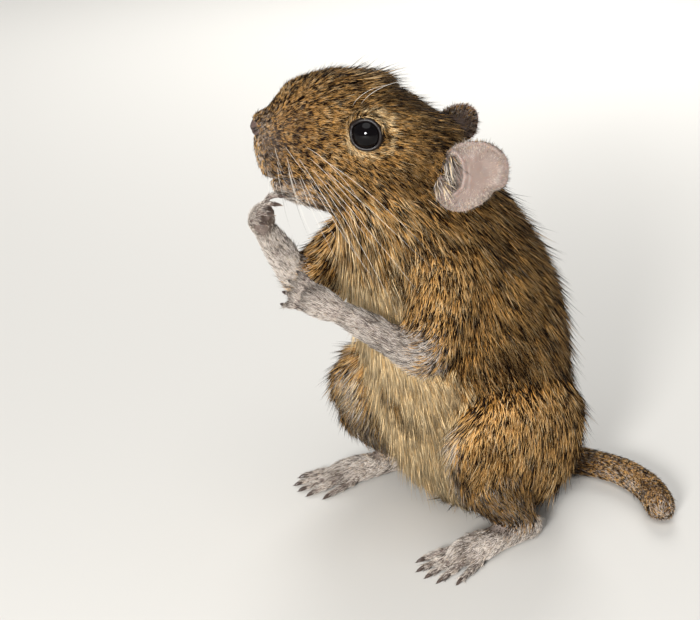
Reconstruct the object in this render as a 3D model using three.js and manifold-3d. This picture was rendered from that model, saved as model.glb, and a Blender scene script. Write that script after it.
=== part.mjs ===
// A life-size degu that sits up on its haunches, hands raised to its mouth, head turned to its right.
// Millimetres, +Z up. The animal faces -X, its left side is towards -Y, and the origin is the middle
// of its seat on the floor.
import * as THREE from "three";
import { mergeVertices } from "three/addons/utils/BufferGeometryUtils.js";
import Module from "manifold-3d";

const wasm = await Module();
wasm.setup();

// Driving sizes.
const EYE_HEIGHT = 107;
const EYE_AHEAD = 33; // how far the line through both eyes lies in front of the seat's middle
const EYE_RADIUS = 4.1;
const EYE_SPREAD = 12.5; // from the head's middle plane to the centre of an eyeball
const NOSE_REACH = 27; // from the line through the eyes to the tip of the nose
const HEAD_WIDTH = 34;
const HEAD_TURN = THREE.MathUtils.degToRad(28);
const EAR_THICKNESS = 1.4;
const BELLY_WIDTH = 51;
const CHEST_WIDTH = 42;
const NECK_LEVEL = 77; // height at which the neck ends and the torso begins
const FOOT_LENGTH = 34;
const TOE_LENGTH = 9;
const TOE_THICKNESS = 2.2;
const FINGER_LENGTH = 7;
const FINGER_THICKNESS = 1.9;
const CLAW_LENGTH = 2.8;
const TAIL_RADIUS = 3.6;
const FLOOR_DIP = 0.5; // how far what rests on the floor is cut flat
const GAP = 0.3; // clearance between neighbouring pieces

// A point or a direction told as the animal would: ahead of it, to its left, and up.
const at = (ahead, left, up) => new THREE.Vector3(-ahead, -left, up);
const LEFT = at(0, 1, 0);
const UP = at(0, 0, 1);

const COLOURS = { coat: 0x8a6a3c, paw: 0x8d8782, ear: 0xa88f86, eye: 0x0c0a10, tail: 0x6f5a3e };
const FINISH = { coat: 0.85, paw: 0.7, ear: 0.65, eye: 0.08, tail: 0.8 };

// A closed three.js mesh as a solid that can be joined and cut.
function solid(geometry) {
  geometry.deleteAttribute("normal");
  geometry.deleteAttribute("uv");
  const merged = mergeVertices(geometry, 1e-4);
  return new wasm.Manifold(
    new wasm.Mesh({
      numProp: 3,
      vertProperties: merged.attributes.position.array,
      triVerts: new Uint32Array(merged.index.array),
    }),
  );
}

const join = (...solids) => solids.reduce((all, one) => all.add(one));

// The biggest closed surface of a solid, without the scraps that a cut can leave.
function largest(cutSolid) {
  const pieces = cutSolid.decompose();
  return pieces.reduce((best, piece) => (piece.volume() > best.volume() ? piece : best));
}

// A rounded body along a smooth path. A station is a point with half the body's width across the
// path, and its reach to either side of the path at right angles to that: [point, wide, over, under].
// The ends close to a point by themselves, as round as the stations beside them.
function flesh(stations, { sides = 16, rings = 12, across = LEFT, grow = 0 } = {}) {
  const path = new THREE.CatmullRomCurve3(stations.map(([point]) => point), false, "catmullrom");
  const squares = stations.map(
    ([, wide, over, under = over]) => new THREE.Vector3(wide ** 2, over ** 2, under ** 2),
  );
  squares[0].set(0, 0, 0);
  squares[squares.length - 1].set(0, 0, 0);
  const sizes = new THREE.CatmullRomCurve3(squares, false, "catmullrom");
  const form = new THREE.SphereGeometry(1, sides, rings);
  const places = form.attributes.position;
  const unit = new THREE.Vector3();
  for (let i = 0; i < places.count; i++) {
    unit.fromBufferAttribute(places, i);
    const polar = Math.acos(THREE.MathUtils.clamp(unit.y, -1, 1));
    const t = (polar / Math.PI + (1 - unit.y) / 2) / 2;
    const tangent = path.getTangent(t);
    const side = across.clone().addScaledVector(tangent, -across.dot(tangent)).normalize();
    const over = tangent.clone().cross(side);
    const isTip = Math.abs(unit.y) > 1 - 1e-9;
    const size = sizes.getPoint(t);
    const reach = [size.x, unit.z > 0 ? size.y : size.z].map((square) => Math.sqrt(Math.max(square, 0)) + grow);
    const place = path.getPoint(t);
    if (isTip) {
      place.addScaledVector(tangent, -Math.sign(unit.y) * grow);
    } else {
      const round = Math.hypot(unit.x, unit.z);
      place.addScaledVector(side, (reach[0] * unit.x) / round);
      place.addScaledVector(over, (reach[1] * unit.z) / round);
    }
    places.setXYZ(i, place.x, place.y, place.z);
  }
  return solid(form);
}

// An ellipsoid with its half sizes ahead, to the side and up.
function mound(centre, [ahead, side, up], { grow = 0, sides = 14, rings = 9 } = {}) {
  const form = new THREE.SphereGeometry(1, sides, rings);
  form.scale(ahead + grow, side + grow, up + grow);
  form.translate(centre.x, centre.y, centre.z);
  return solid(form);
}

// The head turns about an upright axis where the skull meets the neck.
const HEAD_PIVOT = at(EYE_AHEAD - 14, 0, EYE_HEIGHT);
const headPlace = (point) => point.sub(HEAD_PIVOT).applyAxisAngle(UP, -HEAD_TURN).add(HEAD_PIVOT);
const onHead = (ahead, left, up) => headPlace(at(EYE_AHEAD + ahead, left, EYE_HEIGHT + up));
const headWay = (ahead, left, up) => at(ahead, left, up).applyAxisAngle(UP, -HEAD_TURN).normalize();
const HEAD_LEFT = headWay(0, 1, 0);

const EYE_TILT = { ahead: 0.3, up: 0.12 };
const eyeCentre = (side) => onHead(0, side * EYE_SPREAD, 0);
const eyeWay = (side) => headWay(EYE_TILT.ahead, side, EYE_TILT.up);

function eye(side, grow = 0) {
  const form = new THREE.SphereGeometry(EYE_RADIUS + grow, 16, 10);
  form.rotateX(Math.PI / 2); // poles along Z, then turned to the way the eye looks
  form.applyQuaternion(new THREE.Quaternion().setFromUnitVectors(new THREE.Vector3(0, 0, 1), eyeWay(side)));
  const centre = eyeCentre(side);
  form.translate(centre.x, centre.y, centre.z);
  return solid(form);
}

// The rim of both lids: a ring about the eye, longer towards the nose and the ear.
function lids(side) {
  const ring = new THREE.TorusGeometry(EYE_RADIUS - 0.35, 0.75, 6, 20);
  ring.scale(1.12, 0.98, 1);
  const way = eyeWay(side);
  const along = headWay(1, 0, 0).addScaledVector(way, -way.dot(headWay(1, 0, 0))).normalize();
  const centre = eyeCentre(side).addScaledVector(way, 2.1);
  ring.applyMatrix4(new THREE.Matrix4().makeBasis(along, way.clone().cross(along), way).setPosition(centre));
  return solid(ring);
}

// Cross-sections of the head from its back to the nose, measured from the line through the eyes:
// how far ahead, the top, the level at which it is widest, the bottom, and half its width.
const HEAD_SECTIONS = [
  [-25, -9, -9, -9, 0],
  [-20, 0.6, -9, -20, HEAD_WIDTH * 0.42],
  [-12, 6.3, -10, -23.8, HEAD_WIDTH * 0.5],
  [-4, 9.8, -10, -24.6, HEAD_WIDTH * 0.5],
  [3, 12.7, -8.5, -23.4, HEAD_WIDTH * 0.455],
  [10, 13.6, -6.5, -18.6, HEAD_WIDTH * 0.38],
  [17, 11.2, -5, -14.4, HEAD_WIDTH * 0.3],
  [21.6, 7.5, -4.4, -12.4, HEAD_WIDTH * 0.24],
  [NOSE_REACH - 0.4, -3.4, -3.4, -3.4, 0],
];

// The lower jaw stands back behind the upper lips: how far ahead, its level, half width and half height.
const JAW_SECTIONS = [
  [-4, -15, 0, 0],
  [3, -16.2, 10.4, 7],
  [11, -16.4, 9.2, 5.4],
  [18, -15.6, 5.8, 3.6],
  [22.6, -14.6, 0, 0],
];

function jaw(grow = 0) {
  const stations = JAW_SECTIONS.map(([ahead, level, half, tall]) => [onHead(ahead, 0, level), half, tall]);
  return flesh(stations, { sides: 16, rings: 12, across: HEAD_LEFT, grow });
}

function headForm(grow = 0) {
  const stations = HEAD_SECTIONS.map(([ahead, top, widest, bottom, half]) => [
    onHead(ahead, 0, widest),
    half,
    top - widest,
    widest - bottom,
  ]);
  return flesh(stations, { sides: 28, rings: 22, across: HEAD_LEFT, grow });
}

function head(grow = 0) {
  const pieces = [headForm(grow), jaw(grow)];
  const pad = { ahead: 19.8, out: 3.4, up: -7, sizes: [6.6, 5.2, 6.2] }; // carries the whiskers
  for (const side of [1, -1]) {
    pieces.push(mound(onHead(pad.ahead, side * pad.out, pad.up), pad.sizes, { grow, sides: 16, rings: 11 }));
  }
  pieces.push(mound(onHead(NOSE_REACH - 3.8, 0, 0.2), [3.8, 3.7, 3.1], { grow, sides: 14, rings: 10 })); // nose
  if (grow > 0) return join(...pieces);
  return join(...pieces, lids(1), lids(-1)).subtract(mouthLine()).subtract(join(nostril(1), nostril(-1)));
}

// The slit of the closed mouth: a thin bow that runs back from under the nose to both corners.
function mouthLine() {
  const half = [
    [24.4, 0, -12.8],
    [23, 4, -13],
    [18.6, 7.4, -13],
    [13.4, 10, -12.6],
  ];
  const bow = new THREE.CatmullRomCurve3([
    ...half.slice(1).reverse().map(([ahead, left, up]) => onHead(ahead, left, up)),
    ...half.map(([ahead, left, up]) => onHead(ahead, -left, up)),
  ]);
  const section = new THREE.Shape().absellipse(0, 0, 0.5, 1.5, 0, Math.PI * 2, false, 0);
  return solid(new THREE.ExtrudeGeometry(section, { steps: 18, curveSegments: 3, extrudePath: bow }));
}

function nostril(side) {
  const slit = new THREE.SphereGeometry(1, 8, 6);
  slit.scale(1.5, 0.6, 0.9);
  slit.rotateZ(side * 0.6 - HEAD_TURN);
  const centre = onHead(NOSE_REACH - 0.9, side * 2.1, -0.9);
  slit.translate(centre.x, centre.y, centre.z);
  return solid(slit);
}

// How far the ear's edge reaches from its middle, for turns in degrees from the tip round by the top.
const EAR_EDGE = [
  [0, 9], [15, 9.6], [32, 9.9], [53, 9.5], [85, 8.8], [113, 9], [135, 9.4], [160, 9.6], [187, 10], [200, 10.2],
  [215, 10.1], [230, 9.4], [248, 8.2], [274, 6.7], [301, 6.2], [322, 6.2], [332, 6.3], [338, 7.6], [348, 8.7],
  [360, 9],
];
// The fold that borders the canal behind, from its top down, as [along the ear, across it].
const EAR_FOLD = [[-4.6, 6.6], [-3, 6], [-2, 3.8], [-1.7, 0.8], [-2.3, -2], [-4.6, -3.2]];
const EAR_CANAL = [[-7.6, 3.4], [-6.2, 1], [-4.7, -1.9]];

function earReach(turn) {
  const degrees = (THREE.MathUtils.radToDeg(turn) + 360) % 360;
  const next = EAR_EDGE.findIndex(([mark]) => mark >= degrees);
  if (next < 1) return EAR_EDGE[0][1];
  const [[from, near], [to, far]] = [EAR_EDGE[next - 1], EAR_EDGE[next]];
  return near + ((far - near) * (degrees - from)) / (to - from);
}

function distanceToLine(x, y, line) {
  const point = new THREE.Vector3(x, y, 0);
  const closest = new THREE.Vector3();
  const away = line.slice(1).map(([endX, endY], i) => {
    const run = new THREE.Line3(new THREE.Vector3(line[i][0], line[i][1], 0), new THREE.Vector3(endX, endY, 0));
    return run.closestPointToPoint(point, true, closest).distanceTo(point);
  });
  return Math.min(...away);
}

// An ear is a thin dish, deepest at the canal, with a fold behind the canal and a notch in its lower edge.
function ear(side, grow = 0) {
  const dish = new THREE.SphereGeometry(1, 44, 12);
  const places = dish.attributes.position;
  const facing = headWay(0.38, side * 0.88, 0.3);
  const towardsTip = headWay(-1, side * 0.35, 0.12);
  towardsTip.addScaledVector(facing, -facing.dot(towardsTip)).normalize();
  const upwards = facing.clone().cross(towardsTip);
  upwards.multiplyScalar(Math.sign(upwards.z));
  const centre = onHead(-23.2, side * 20.8, -9.6);
  const unit = new THREE.Vector3();
  for (let i = 0; i < places.count; i++) {
    unit.fromBufferAttribute(places, i);
    const radial = Math.hypot(unit.x, unit.z);
    const turn = Math.atan2(unit.z, unit.x);
    const reach = (earReach(turn) + grow) * radial;
    const x = reach * Math.cos(turn);
    const y = reach * Math.sin(turn);
    const dip = 4 * (1 - THREE.MathUtils.smoothstep(Math.hypot(x + 5.2, y - 0.5), 0, 13)) + radial ** 8;
    const fold = 1.2 * Math.exp(-((distanceToLine(x, y, EAR_FOLD) / 0.9) ** 2));
    const canal = 1.6 * Math.exp(-((distanceToLine(x, y, EAR_CANAL) / 1.2) ** 2));
    const skin = unit.y * (EAR_THICKNESS / 2 + grow);
    const place = centre.clone().addScaledVector(towardsTip, x).addScaledVector(upwards, y);
    place.addScaledVector(facing, fold - canal - dip + skin);
    places.setXYZ(i, place.x, place.y, place.z);
  }
  if (facing.dot(towardsTip.clone().cross(upwards)) > 0) turnOver(dish);
  return solid(dish);
}

// Turns each face of a mesh round, for one that was laid out as a mirror image.
function turnOver(geometry) {
  const index = geometry.index;
  for (let i = 0; i < index.count; i += 3) {
    const first = index.getX(i);
    index.setX(i, index.getX(i + 1));
    index.setX(i + 1, first);
  }
}

// One form runs from the seat up to the nape, and is parted where the neck begins.
function trunk(grow = 0) {
  const belly = BELLY_WIDTH / 2;
  const chest = CHEST_WIDTH / 2;
  const stations = [
    [at(0, 0, -3), 0, 0],
    [at(-1, 0, 13), belly * 0.88, 21.5, 22],
    [at(2, 0, 32), belly * 0.98, 27, 25.5],
    [at(9, 0, 54), belly, 29.5, 25],
    [at(17, 0, 72), chest, 26.5, 22.5],
    [at(24, -1.5, 87), chest * 0.82, 21.5, 19],
    [at(29, -4, 100), chest * 0.62, 15, 14.5],
    [at(32, -5, 110), 0, 0],
  ];
  return flesh(stations, { sides: 28, rings: 24, grow });
}

const HALF_SPACE = 400;
function slab(low, high) {
  const box = new THREE.BoxGeometry(HALF_SPACE, HALF_SPACE, high - low);
  box.translate(0, 0, (low + high) / 2);
  return solid(box);
}

const torso = (grow = 0) => trunk(grow).subtract(slab(NECK_LEVEL - GAP / 2 + grow, HALF_SPACE));
const neck = (grow = 0) => trunk(grow).subtract(slab(-HALF_SPACE, NECK_LEVEL + GAP / 2 - grow));

// Joints of the limbs. The hands are at different heights: the right one is at the mouth.
const ARMS = {
  left: {
    side: 1,
    shoulder: at(21, 14, 72),
    elbow: at(32, 21.5, 54),
    wrist: at(47, 8.5, 64.5),
    palm: at(52.5, 4, 68),
  },
  right: {
    side: -1,
    shoulder: at(21, -14, 74),
    elbow: at(40, -22, 63),
    wrist: at(53.5, -16.5, 80),
    palm: at(57, -13, 85.5),
  },
};
const HIP = { ahead: -5, out: 15.5, up: 23 };
const KNEE = { ahead: 23, out: 27.5, up: 30 };
const HEEL = { ahead: 3, out: 26, up: 4 };

function upperArm({ shoulder, elbow }, grow = 0) {
  const way = elbow.clone().sub(shoulder).normalize();
  const stations = [
    [shoulder.clone().addScaledVector(way, -11), 0, 0],
    [shoulder, 8.5, 12],
    [shoulder.clone().lerp(elbow, 0.55), 7, 9.5],
    [elbow, 5, 5.6],
    [elbow.clone().addScaledVector(way, 4.6), 0, 0],
  ];
  return flesh(stations, { sides: 14, rings: 10, grow });
}

function forearm({ elbow, wrist }, grow = 0) {
  const way = wrist.clone().sub(elbow).normalize();
  const stations = [
    [elbow.clone().addScaledVector(way, -4.4), 0, 0],
    [elbow, 4.4, 4.6],
    [elbow.clone().lerp(wrist, 0.5), 3.8, 4],
    [wrist, 2.7, 2.8],
    [wrist.clone().addScaledVector(way, 2.4), 0, 0],
  ];
  return flesh(stations, { sides: 12, rings: 10, grow });
}

// A finger or toe and its claw. It starts out along way and bends towards curl.
function digit(root, way, curl, length, thick, claw, bend) {
  const joint = root.clone().addScaledVector(way, length * 0.5).addScaledVector(curl, length * 0.1 * bend);
  const tipWay = way.clone().multiplyScalar(1 - 0.55 * bend).addScaledVector(curl, bend).normalize();
  const tip = joint.clone().addScaledVector(tipWay, length * 0.5);
  const clawWay = tipWay.clone().addScaledVector(curl, 0.35).normalize();
  const toe = flesh(
    [
      [root.clone().addScaledVector(way, -thick), 0, 0],
      [root, thick * 0.95, thick * 0.95],
      [joint, thick, thick * 0.92],
      [tip, thick * 0.85, thick * 0.8],
      [tip.clone().addScaledVector(tipWay, thick * 0.8), 0, 0],
    ],
    { sides: 6, rings: 6, across: way.clone().cross(curl).normalize() },
  );
  const nail = flesh(
    [
      [tip.clone().addScaledVector(tipWay, -thick * 0.2), 0, 0],
      [tip.clone().addScaledVector(tipWay, thick * 0.55), 0.5, 0.62],
      [tip.clone().addScaledVector(tipWay, thick * 0.55).addScaledVector(clawWay, claw * 0.55), 0.36, 0.42],
      [tip.clone().addScaledVector(tipWay, thick * 0.55).addScaledVector(clawWay, claw), 0, 0],
    ],
    { sides: 5, rings: 4, across: way.clone().cross(curl).normalize() },
  );
  return join(toe, nail);
}

// A hand: a small palm and four fingers that curl round, as if they held something.
function hand({ side, wrist, palm }, grow = 0) {
  const way = palm.clone().sub(wrist).normalize();
  const back = at(0.5, side * 0.8, 0.35);
  back.addScaledVector(way, -back.dot(way)).normalize();
  const spread = way.clone().cross(back).normalize();
  const body = flesh(
    [
      [wrist.clone().addScaledVector(way, -1), 0, 0],
      [wrist.clone().addScaledVector(way, 1.2), 2.9, 2.4],
      [palm, 3.9, 2.7],
      [palm.clone().addScaledVector(way, 3.4), 0, 0],
    ],
    { sides: 12, rings: 8, across: spread, grow },
  );
  if (grow > 0) return body;
  const curl = back.clone().negate();
  const fingers = [-1.5, -0.5, 0.5, 1.5].map((place) => {
    const root = palm.clone().addScaledVector(way, 1.6).addScaledVector(spread, place * 2.1);
    const out = way.clone().addScaledVector(spread, place * 0.16).addScaledVector(curl, 0.25).normalize();
    const length = FINGER_LENGTH * (Math.abs(place) < 1 ? 1 : 0.86);
    return digit(root, out, curl, length, FINGER_THICKNESS / 2, CLAW_LENGTH * 0.55, 0.8);
  });
  return join(body, ...fingers);
}

function thigh(side, grow = 0) {
  const hip = at(HIP.ahead, side * HIP.out, HIP.up);
  const knee = at(KNEE.ahead, side * KNEE.out, KNEE.up);
  const way = knee.clone().sub(hip).normalize();
  const stations = [
    [hip.clone().addScaledVector(way, -16), 0, 0],
    [hip.clone().addScaledVector(way, -3), 13.5, 20, 19],
    [hip.clone().lerp(knee, 0.45), 12.5, 19, 17.5],
    [hip.clone().lerp(knee, 0.85), 9, 13, 12.5],
    [knee.clone().addScaledVector(way, 5.5), 0, 0],
  ];
  return flesh(stations, { sides: 20, rings: 14, grow });
}

function shank(side, grow = 0) {
  const knee = at(KNEE.ahead - 5, side * (KNEE.out - 1), KNEE.up - 8);
  const heel = at(HEEL.ahead, side * HEEL.out, HEEL.up);
  const way = heel.clone().sub(knee).normalize();
  const stations = [
    [knee.clone().addScaledVector(way, -7), 0, 0],
    [knee, 7.6, 9.2],
    [knee.clone().lerp(heel, 0.5), 6.2, 7.4],
    [heel.clone().addScaledVector(way, -4), 4, 4.2],
    [heel.clone().addScaledVector(way, 1.5), 0, 0],
  ];
  return flesh(stations, { sides: 14, rings: 10, grow });
}

// A hind foot flat on the floor, with five toes, the outer two shorter.
function foot(side, grow = 0) {
  const turnOut = 0.1;
  const way = at(1, side * turnOut, 0).normalize();
  const spread = at(-turnOut, side, 0).normalize();
  const heel = at(HEEL.ahead, side * HEEL.out, 0);
  const soleLength = FOOT_LENGTH - TOE_LENGTH;
  const along = (distance, out, up) => {
    return heel.clone().addScaledVector(way, distance).addScaledVector(spread, out).setZ(up);
  };
  const sole = flesh(
    [
      [along(-4, 0, 3.4), 0, 0],
      [along(0, 0, 3.4), 3.5, 3.4, 3.4 + FLOOR_DIP],
      [along(soleLength * 0.4, 0, 3.1), 3.7, 3.2, 3.1 + FLOOR_DIP],
      [along(soleLength * 0.8, 0, 2.6), 5.1, 2.7, 2.6 + FLOOR_DIP],
      [along(soleLength + 2.5, 0, 2.1), 0, 0],
    ],
    { sides: 16, rings: 12, across: spread.clone().multiplyScalar(side), grow },
  );
  if (grow > 0) return sole;
  const toes = [-2, -1, 0, 1, 2].map((place) => {
    const shorter = Math.abs(place) === 2 ? 3.4 : 0.5 * Math.abs(place);
    const root = along(soleLength - 1.2 - shorter, place * 2.3, 1.5);
    const out = way.clone().addScaledVector(spread, place * 0.13);
    out.setZ(-0.02).normalize();
    return digit(root, out, new THREE.Vector3(0, 0, -1), TOE_LENGTH, TOE_THICKNESS / 2, CLAW_LENGTH, 0.1);
  });
  return join(sole, ...toes);
}

// The tail leaves the rump, comes down to the floor and lies in a bow to the animal's left. Its end is blunt.
function tail(grow = 0) {
  const lying = TAIL_RADIUS - FLOOR_DIP / 2;
  const stations = [
    [at(-10, 0, 15), 0, 0],
    [at(-18, 0, 10.5), 5.2, 5.6],
    [at(-26, 1.5, 5.6), 4.3, 4.5],
    [at(-33.5, 7, lying), TAIL_RADIUS, TAIL_RADIUS],
    [at(-37, 17, lying), TAIL_RADIUS, TAIL_RADIUS],
    [at(-36, 28, lying), TAIL_RADIUS * 1.03, TAIL_RADIUS],
    [at(-31.5, 38, lying), TAIL_RADIUS * 1.06, TAIL_RADIUS],
    [at(-28.5, 42, lying), 0, 0],
  ];
  return flesh(stations, { sides: 14, rings: 26, across: UP, grow });
}

// Every node with its form and finish. Each is cut clear of all that come before it.
const nodes = [];
for (const [name, side] of [["left", 1], ["right", -1]]) {
  nodes.push({ name: `eye_${name}`, finish: "eye", form: (grow) => eye(side, grow) });
}
nodes.push({ name: "head", finish: "coat", form: head });
nodes.push({ name: "torso", finish: "coat", form: torso });
nodes.push({ name: "neck", finish: "coat", form: neck });
for (const [name, side] of [["left", 1], ["right", -1]]) {
  nodes.push({ name: `ear_${name}`, finish: "ear", form: (grow) => ear(side, grow) });
  nodes.push({ name: `upper_arm_${name}`, finish: "coat", form: (grow) => upperArm(ARMS[name], grow) });
  nodes.push({ name: `forearm_${name}`, finish: "paw", form: (grow) => forearm(ARMS[name], grow) });
  nodes.push({ name: `forepaw_${name}`, finish: "paw", form: (grow) => hand(ARMS[name], grow) });
  nodes.push({ name: `thigh_${name}`, finish: "coat", form: (grow) => thigh(side, grow) });
  nodes.push({ name: `shank_${name}`, finish: "coat", form: (grow) => shank(side, grow) });
  nodes.push({ name: `hind_foot_${name}`, finish: "paw", form: (grow) => foot(side, grow) });
}
nodes.push({ name: "tail", finish: "tail", form: tail });

function material(finish) {
  return new THREE.MeshStandardMaterial({ color: COLOURS[finish], roughness: FINISH[finish], metalness: 0 });
}

function meshOf(name, finish, made) {
  const { vertProperties, triVerts, numProp } = made.getMesh();
  const places = new Float32Array((vertProperties.length / numProp) * 3);
  for (let i = 0; i < places.length / 3; i++) {
    places.set(vertProperties.subarray(i * numProp, i * numProp + 3), i * 3);
  }
  const geometry = new THREE.BufferGeometry();
  geometry.setAttribute("position", new THREE.BufferAttribute(places, 3));
  geometry.setIndex(new THREE.BufferAttribute(new Uint32Array(triVerts), 1));
  geometry.computeVertexNormals();
  const mesh = new THREE.Mesh(geometry, material(finish));
  mesh.name = name;
  return mesh;
}

const degu = new THREE.Group();
const underFloor = slab(-HALF_SPACE, 0);
let taken = underFloor;
for (const { name, finish, form } of nodes) {
  degu.add(meshOf(name, finish, largest(form(0).subtract(taken))));
  taken = taken.add(form(GAP));
}

export default degu;
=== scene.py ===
"""A life-size degu that sits up on its haunches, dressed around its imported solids.

Skin, coat, ears, eyes, nose, claws and whiskers are built here. Places on the animal are told in
millimetres as (ahead of the seat's middle, to the animal's left, above the floor), and places on the
head as the same from the line through both eyes, before the head is turned.
"""

import math

import bpy
import numpy as np
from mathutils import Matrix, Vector


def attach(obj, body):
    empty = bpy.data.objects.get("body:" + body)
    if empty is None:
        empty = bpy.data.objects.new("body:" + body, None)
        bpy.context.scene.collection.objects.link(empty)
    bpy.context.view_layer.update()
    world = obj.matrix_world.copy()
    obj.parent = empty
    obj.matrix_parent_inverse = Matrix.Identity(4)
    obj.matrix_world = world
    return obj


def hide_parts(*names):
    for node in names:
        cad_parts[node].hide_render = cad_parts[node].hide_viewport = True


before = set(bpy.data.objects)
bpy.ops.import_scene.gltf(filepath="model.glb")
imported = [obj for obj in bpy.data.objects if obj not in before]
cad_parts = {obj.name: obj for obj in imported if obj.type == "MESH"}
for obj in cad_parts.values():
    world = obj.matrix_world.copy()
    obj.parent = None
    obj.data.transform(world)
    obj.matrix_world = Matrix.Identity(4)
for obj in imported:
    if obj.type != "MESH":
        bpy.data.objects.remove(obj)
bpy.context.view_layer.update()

bl_info = {
    "name": "Degu still model",
    "version": (1, 0, 0),
    "blender": (4, 5, 0),
    "location": "3D View > Sidebar > Degu",
    "description": "Builds the skin, coat and features of a life-size sitting degu",
    "category": "Add Mesh",
}

MM = 0.001
TO_FRAME = np.array([-MM, -MM, MM])  # the animal faces -X and its left is -Y
LEFT = np.array([0.0, 1.0, 0.0])
UP = np.array([0.0, 0.0, 1.0])

# Named sizes that the solids have too, in millimetres
EYE_HEIGHT = 107.0
EYE_AHEAD = 33.0
EYE_RADIUS = 4.1
EYE_SPREAD = 12.5
NOSE_REACH = 27.0
HEAD_HALF = 17.0
HEAD_TURN = math.radians(28)
PIVOT_TO_EYES = np.array([14.0, 0.0, 0.0])  # the head turns about an upright line behind the eyes
PIVOT = np.array([EYE_AHEAD, 0.0, EYE_HEIGHT]) - PIVOT_TO_EYES
BELLY_HALF = 25.5
CHEST_HALF = 21.0
FOOT_LENGTH = 34.0
TOE_LENGTH = 9.0
TOE_THICKNESS = 2.2
FINGER_LENGTH = 7.0
FINGER_THICKNESS = 1.9
CLAW_LENGTH = 2.8
TAIL_RADIUS = 3.6
FLOOR_DIP = 0.5
HIP = (-5, 15.5, 23)
KNEE = (23, 27.5, 30)
HEEL = (3, 26, 4)
ARMS = {
    1: {"shoulder": (21, 14, 72), "elbow": (32, 21.5, 54), "wrist": (47, 8.5, 64.5), "palm": (52.5, 4, 68)},
    -1: {"shoulder": (21, -14, 74), "elbow": (40, -22, 63), "wrist": (53.5, -16.5, 80),
         "palm": (57, -13, 85.5)},
}
FLESH = ["head", "neck", "torso", "tail"] + [
    f"{part}_{side}"
    for part in ("upper_arm", "forearm", "forepaw", "thigh", "shank", "hind_foot")
    for side in ("left", "right")
]

# Sizes of what only the scene has, in millimetres
LID_REACH = 4.05  # from the middle of the eye to where hair starts
NOSE_TIP = np.array([NOSE_REACH - 2.7, 0.0, -0.7])
NOSE_RADII = (2.9, 3.1, 2.6)
HAIR_ROOT = 0.15  # how deep a hair starts in the skin


# Small helpers for places and shapes

def unit(vectors):
    vectors = np.asarray(vectors, float)
    return vectors / np.maximum(np.linalg.norm(vectors, axis=-1, keepdims=True), 1e-9)


def smooth(low, high, values):
    share = np.clip((np.asarray(values, float) - low) / (high - low), 0, 1)
    return share * share * (3 - 2 * share)


def turn_about_up(points, angle):
    points = np.asarray(points, float)
    turned = points.copy()
    turned[..., 0] = points[..., 0] * math.cos(angle) + points[..., 1] * math.sin(angle)
    turned[..., 1] = points[..., 1] * math.cos(angle) - points[..., 0] * math.sin(angle)
    return turned


def head_way(vectors):
    return turn_about_up(vectors, HEAD_TURN)


def on_head(points):
    """From places on the unturned head to places on the animal."""
    return turn_about_up(np.asarray(points, float) + PIVOT_TO_EYES, HEAD_TURN) + PIVOT


def in_head(points):
    """From places on the animal to places on the unturned head."""
    return turn_about_up(np.asarray(points, float) - PIVOT, -HEAD_TURN) - PIVOT_TO_EYES


def eye_centre(side):
    return on_head((0, side * EYE_SPREAD, 0))


def gaze(side):
    """The way an eye looks: to its side, a little ahead and up."""
    return unit(head_way((0.3, side, 0.12)))


def blob(points, centre, radii):
    """A soft spot: 1 at its centre, about a third at its radii, 0 far from it."""
    away = (np.asarray(points, float) - np.array(centre)) / np.array(radii)
    return np.exp(-(away**2).sum(axis=-1))


def ripple(points, size, seed):
    """Smooth noise between -1 and 1 whose bumps are about size millimetres wide."""
    draw = np.random.default_rng(seed)
    cells = 32
    lattice = draw.uniform(-1, 1, (cells, cells, cells))
    place = np.asarray(points, float) / size + 1000
    low = np.floor(place).astype(int)
    part = place - low
    part = part * part * (3 - 2 * part)
    total = np.zeros(len(place))
    for corner in np.ndindex(2, 2, 2):
        weight = np.prod(np.where(np.array(corner) == 1, part, 1 - part), axis=1)
        cell = (low + np.array(corner)) % cells
        total += weight * lattice[cell[:, 0], cell[:, 1], cell[:, 2]]
    return total


def spline(knots, share):
    """A Catmull-Rom curve through the knots, read at shares from 0 to 1 of its run."""
    knots = np.asarray(knots, float)
    knots = np.vstack([2 * knots[0] - knots[1], knots, 2 * knots[-1] - knots[-2]])
    run = np.clip(np.asarray(share, float), 0, 1) * (len(knots) - 3)
    first = np.minimum(run.astype(int), len(knots) - 4)
    w = (run - first)[:, None]
    a, b, c, d = (knots[first + i] for i in range(4))
    return 0.5 * (2 * b + (c - a) * w + (2 * a - 5 * b + 4 * c - d) * w**2 + (3 * b - a - 3 * c + d) * w**3)


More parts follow.
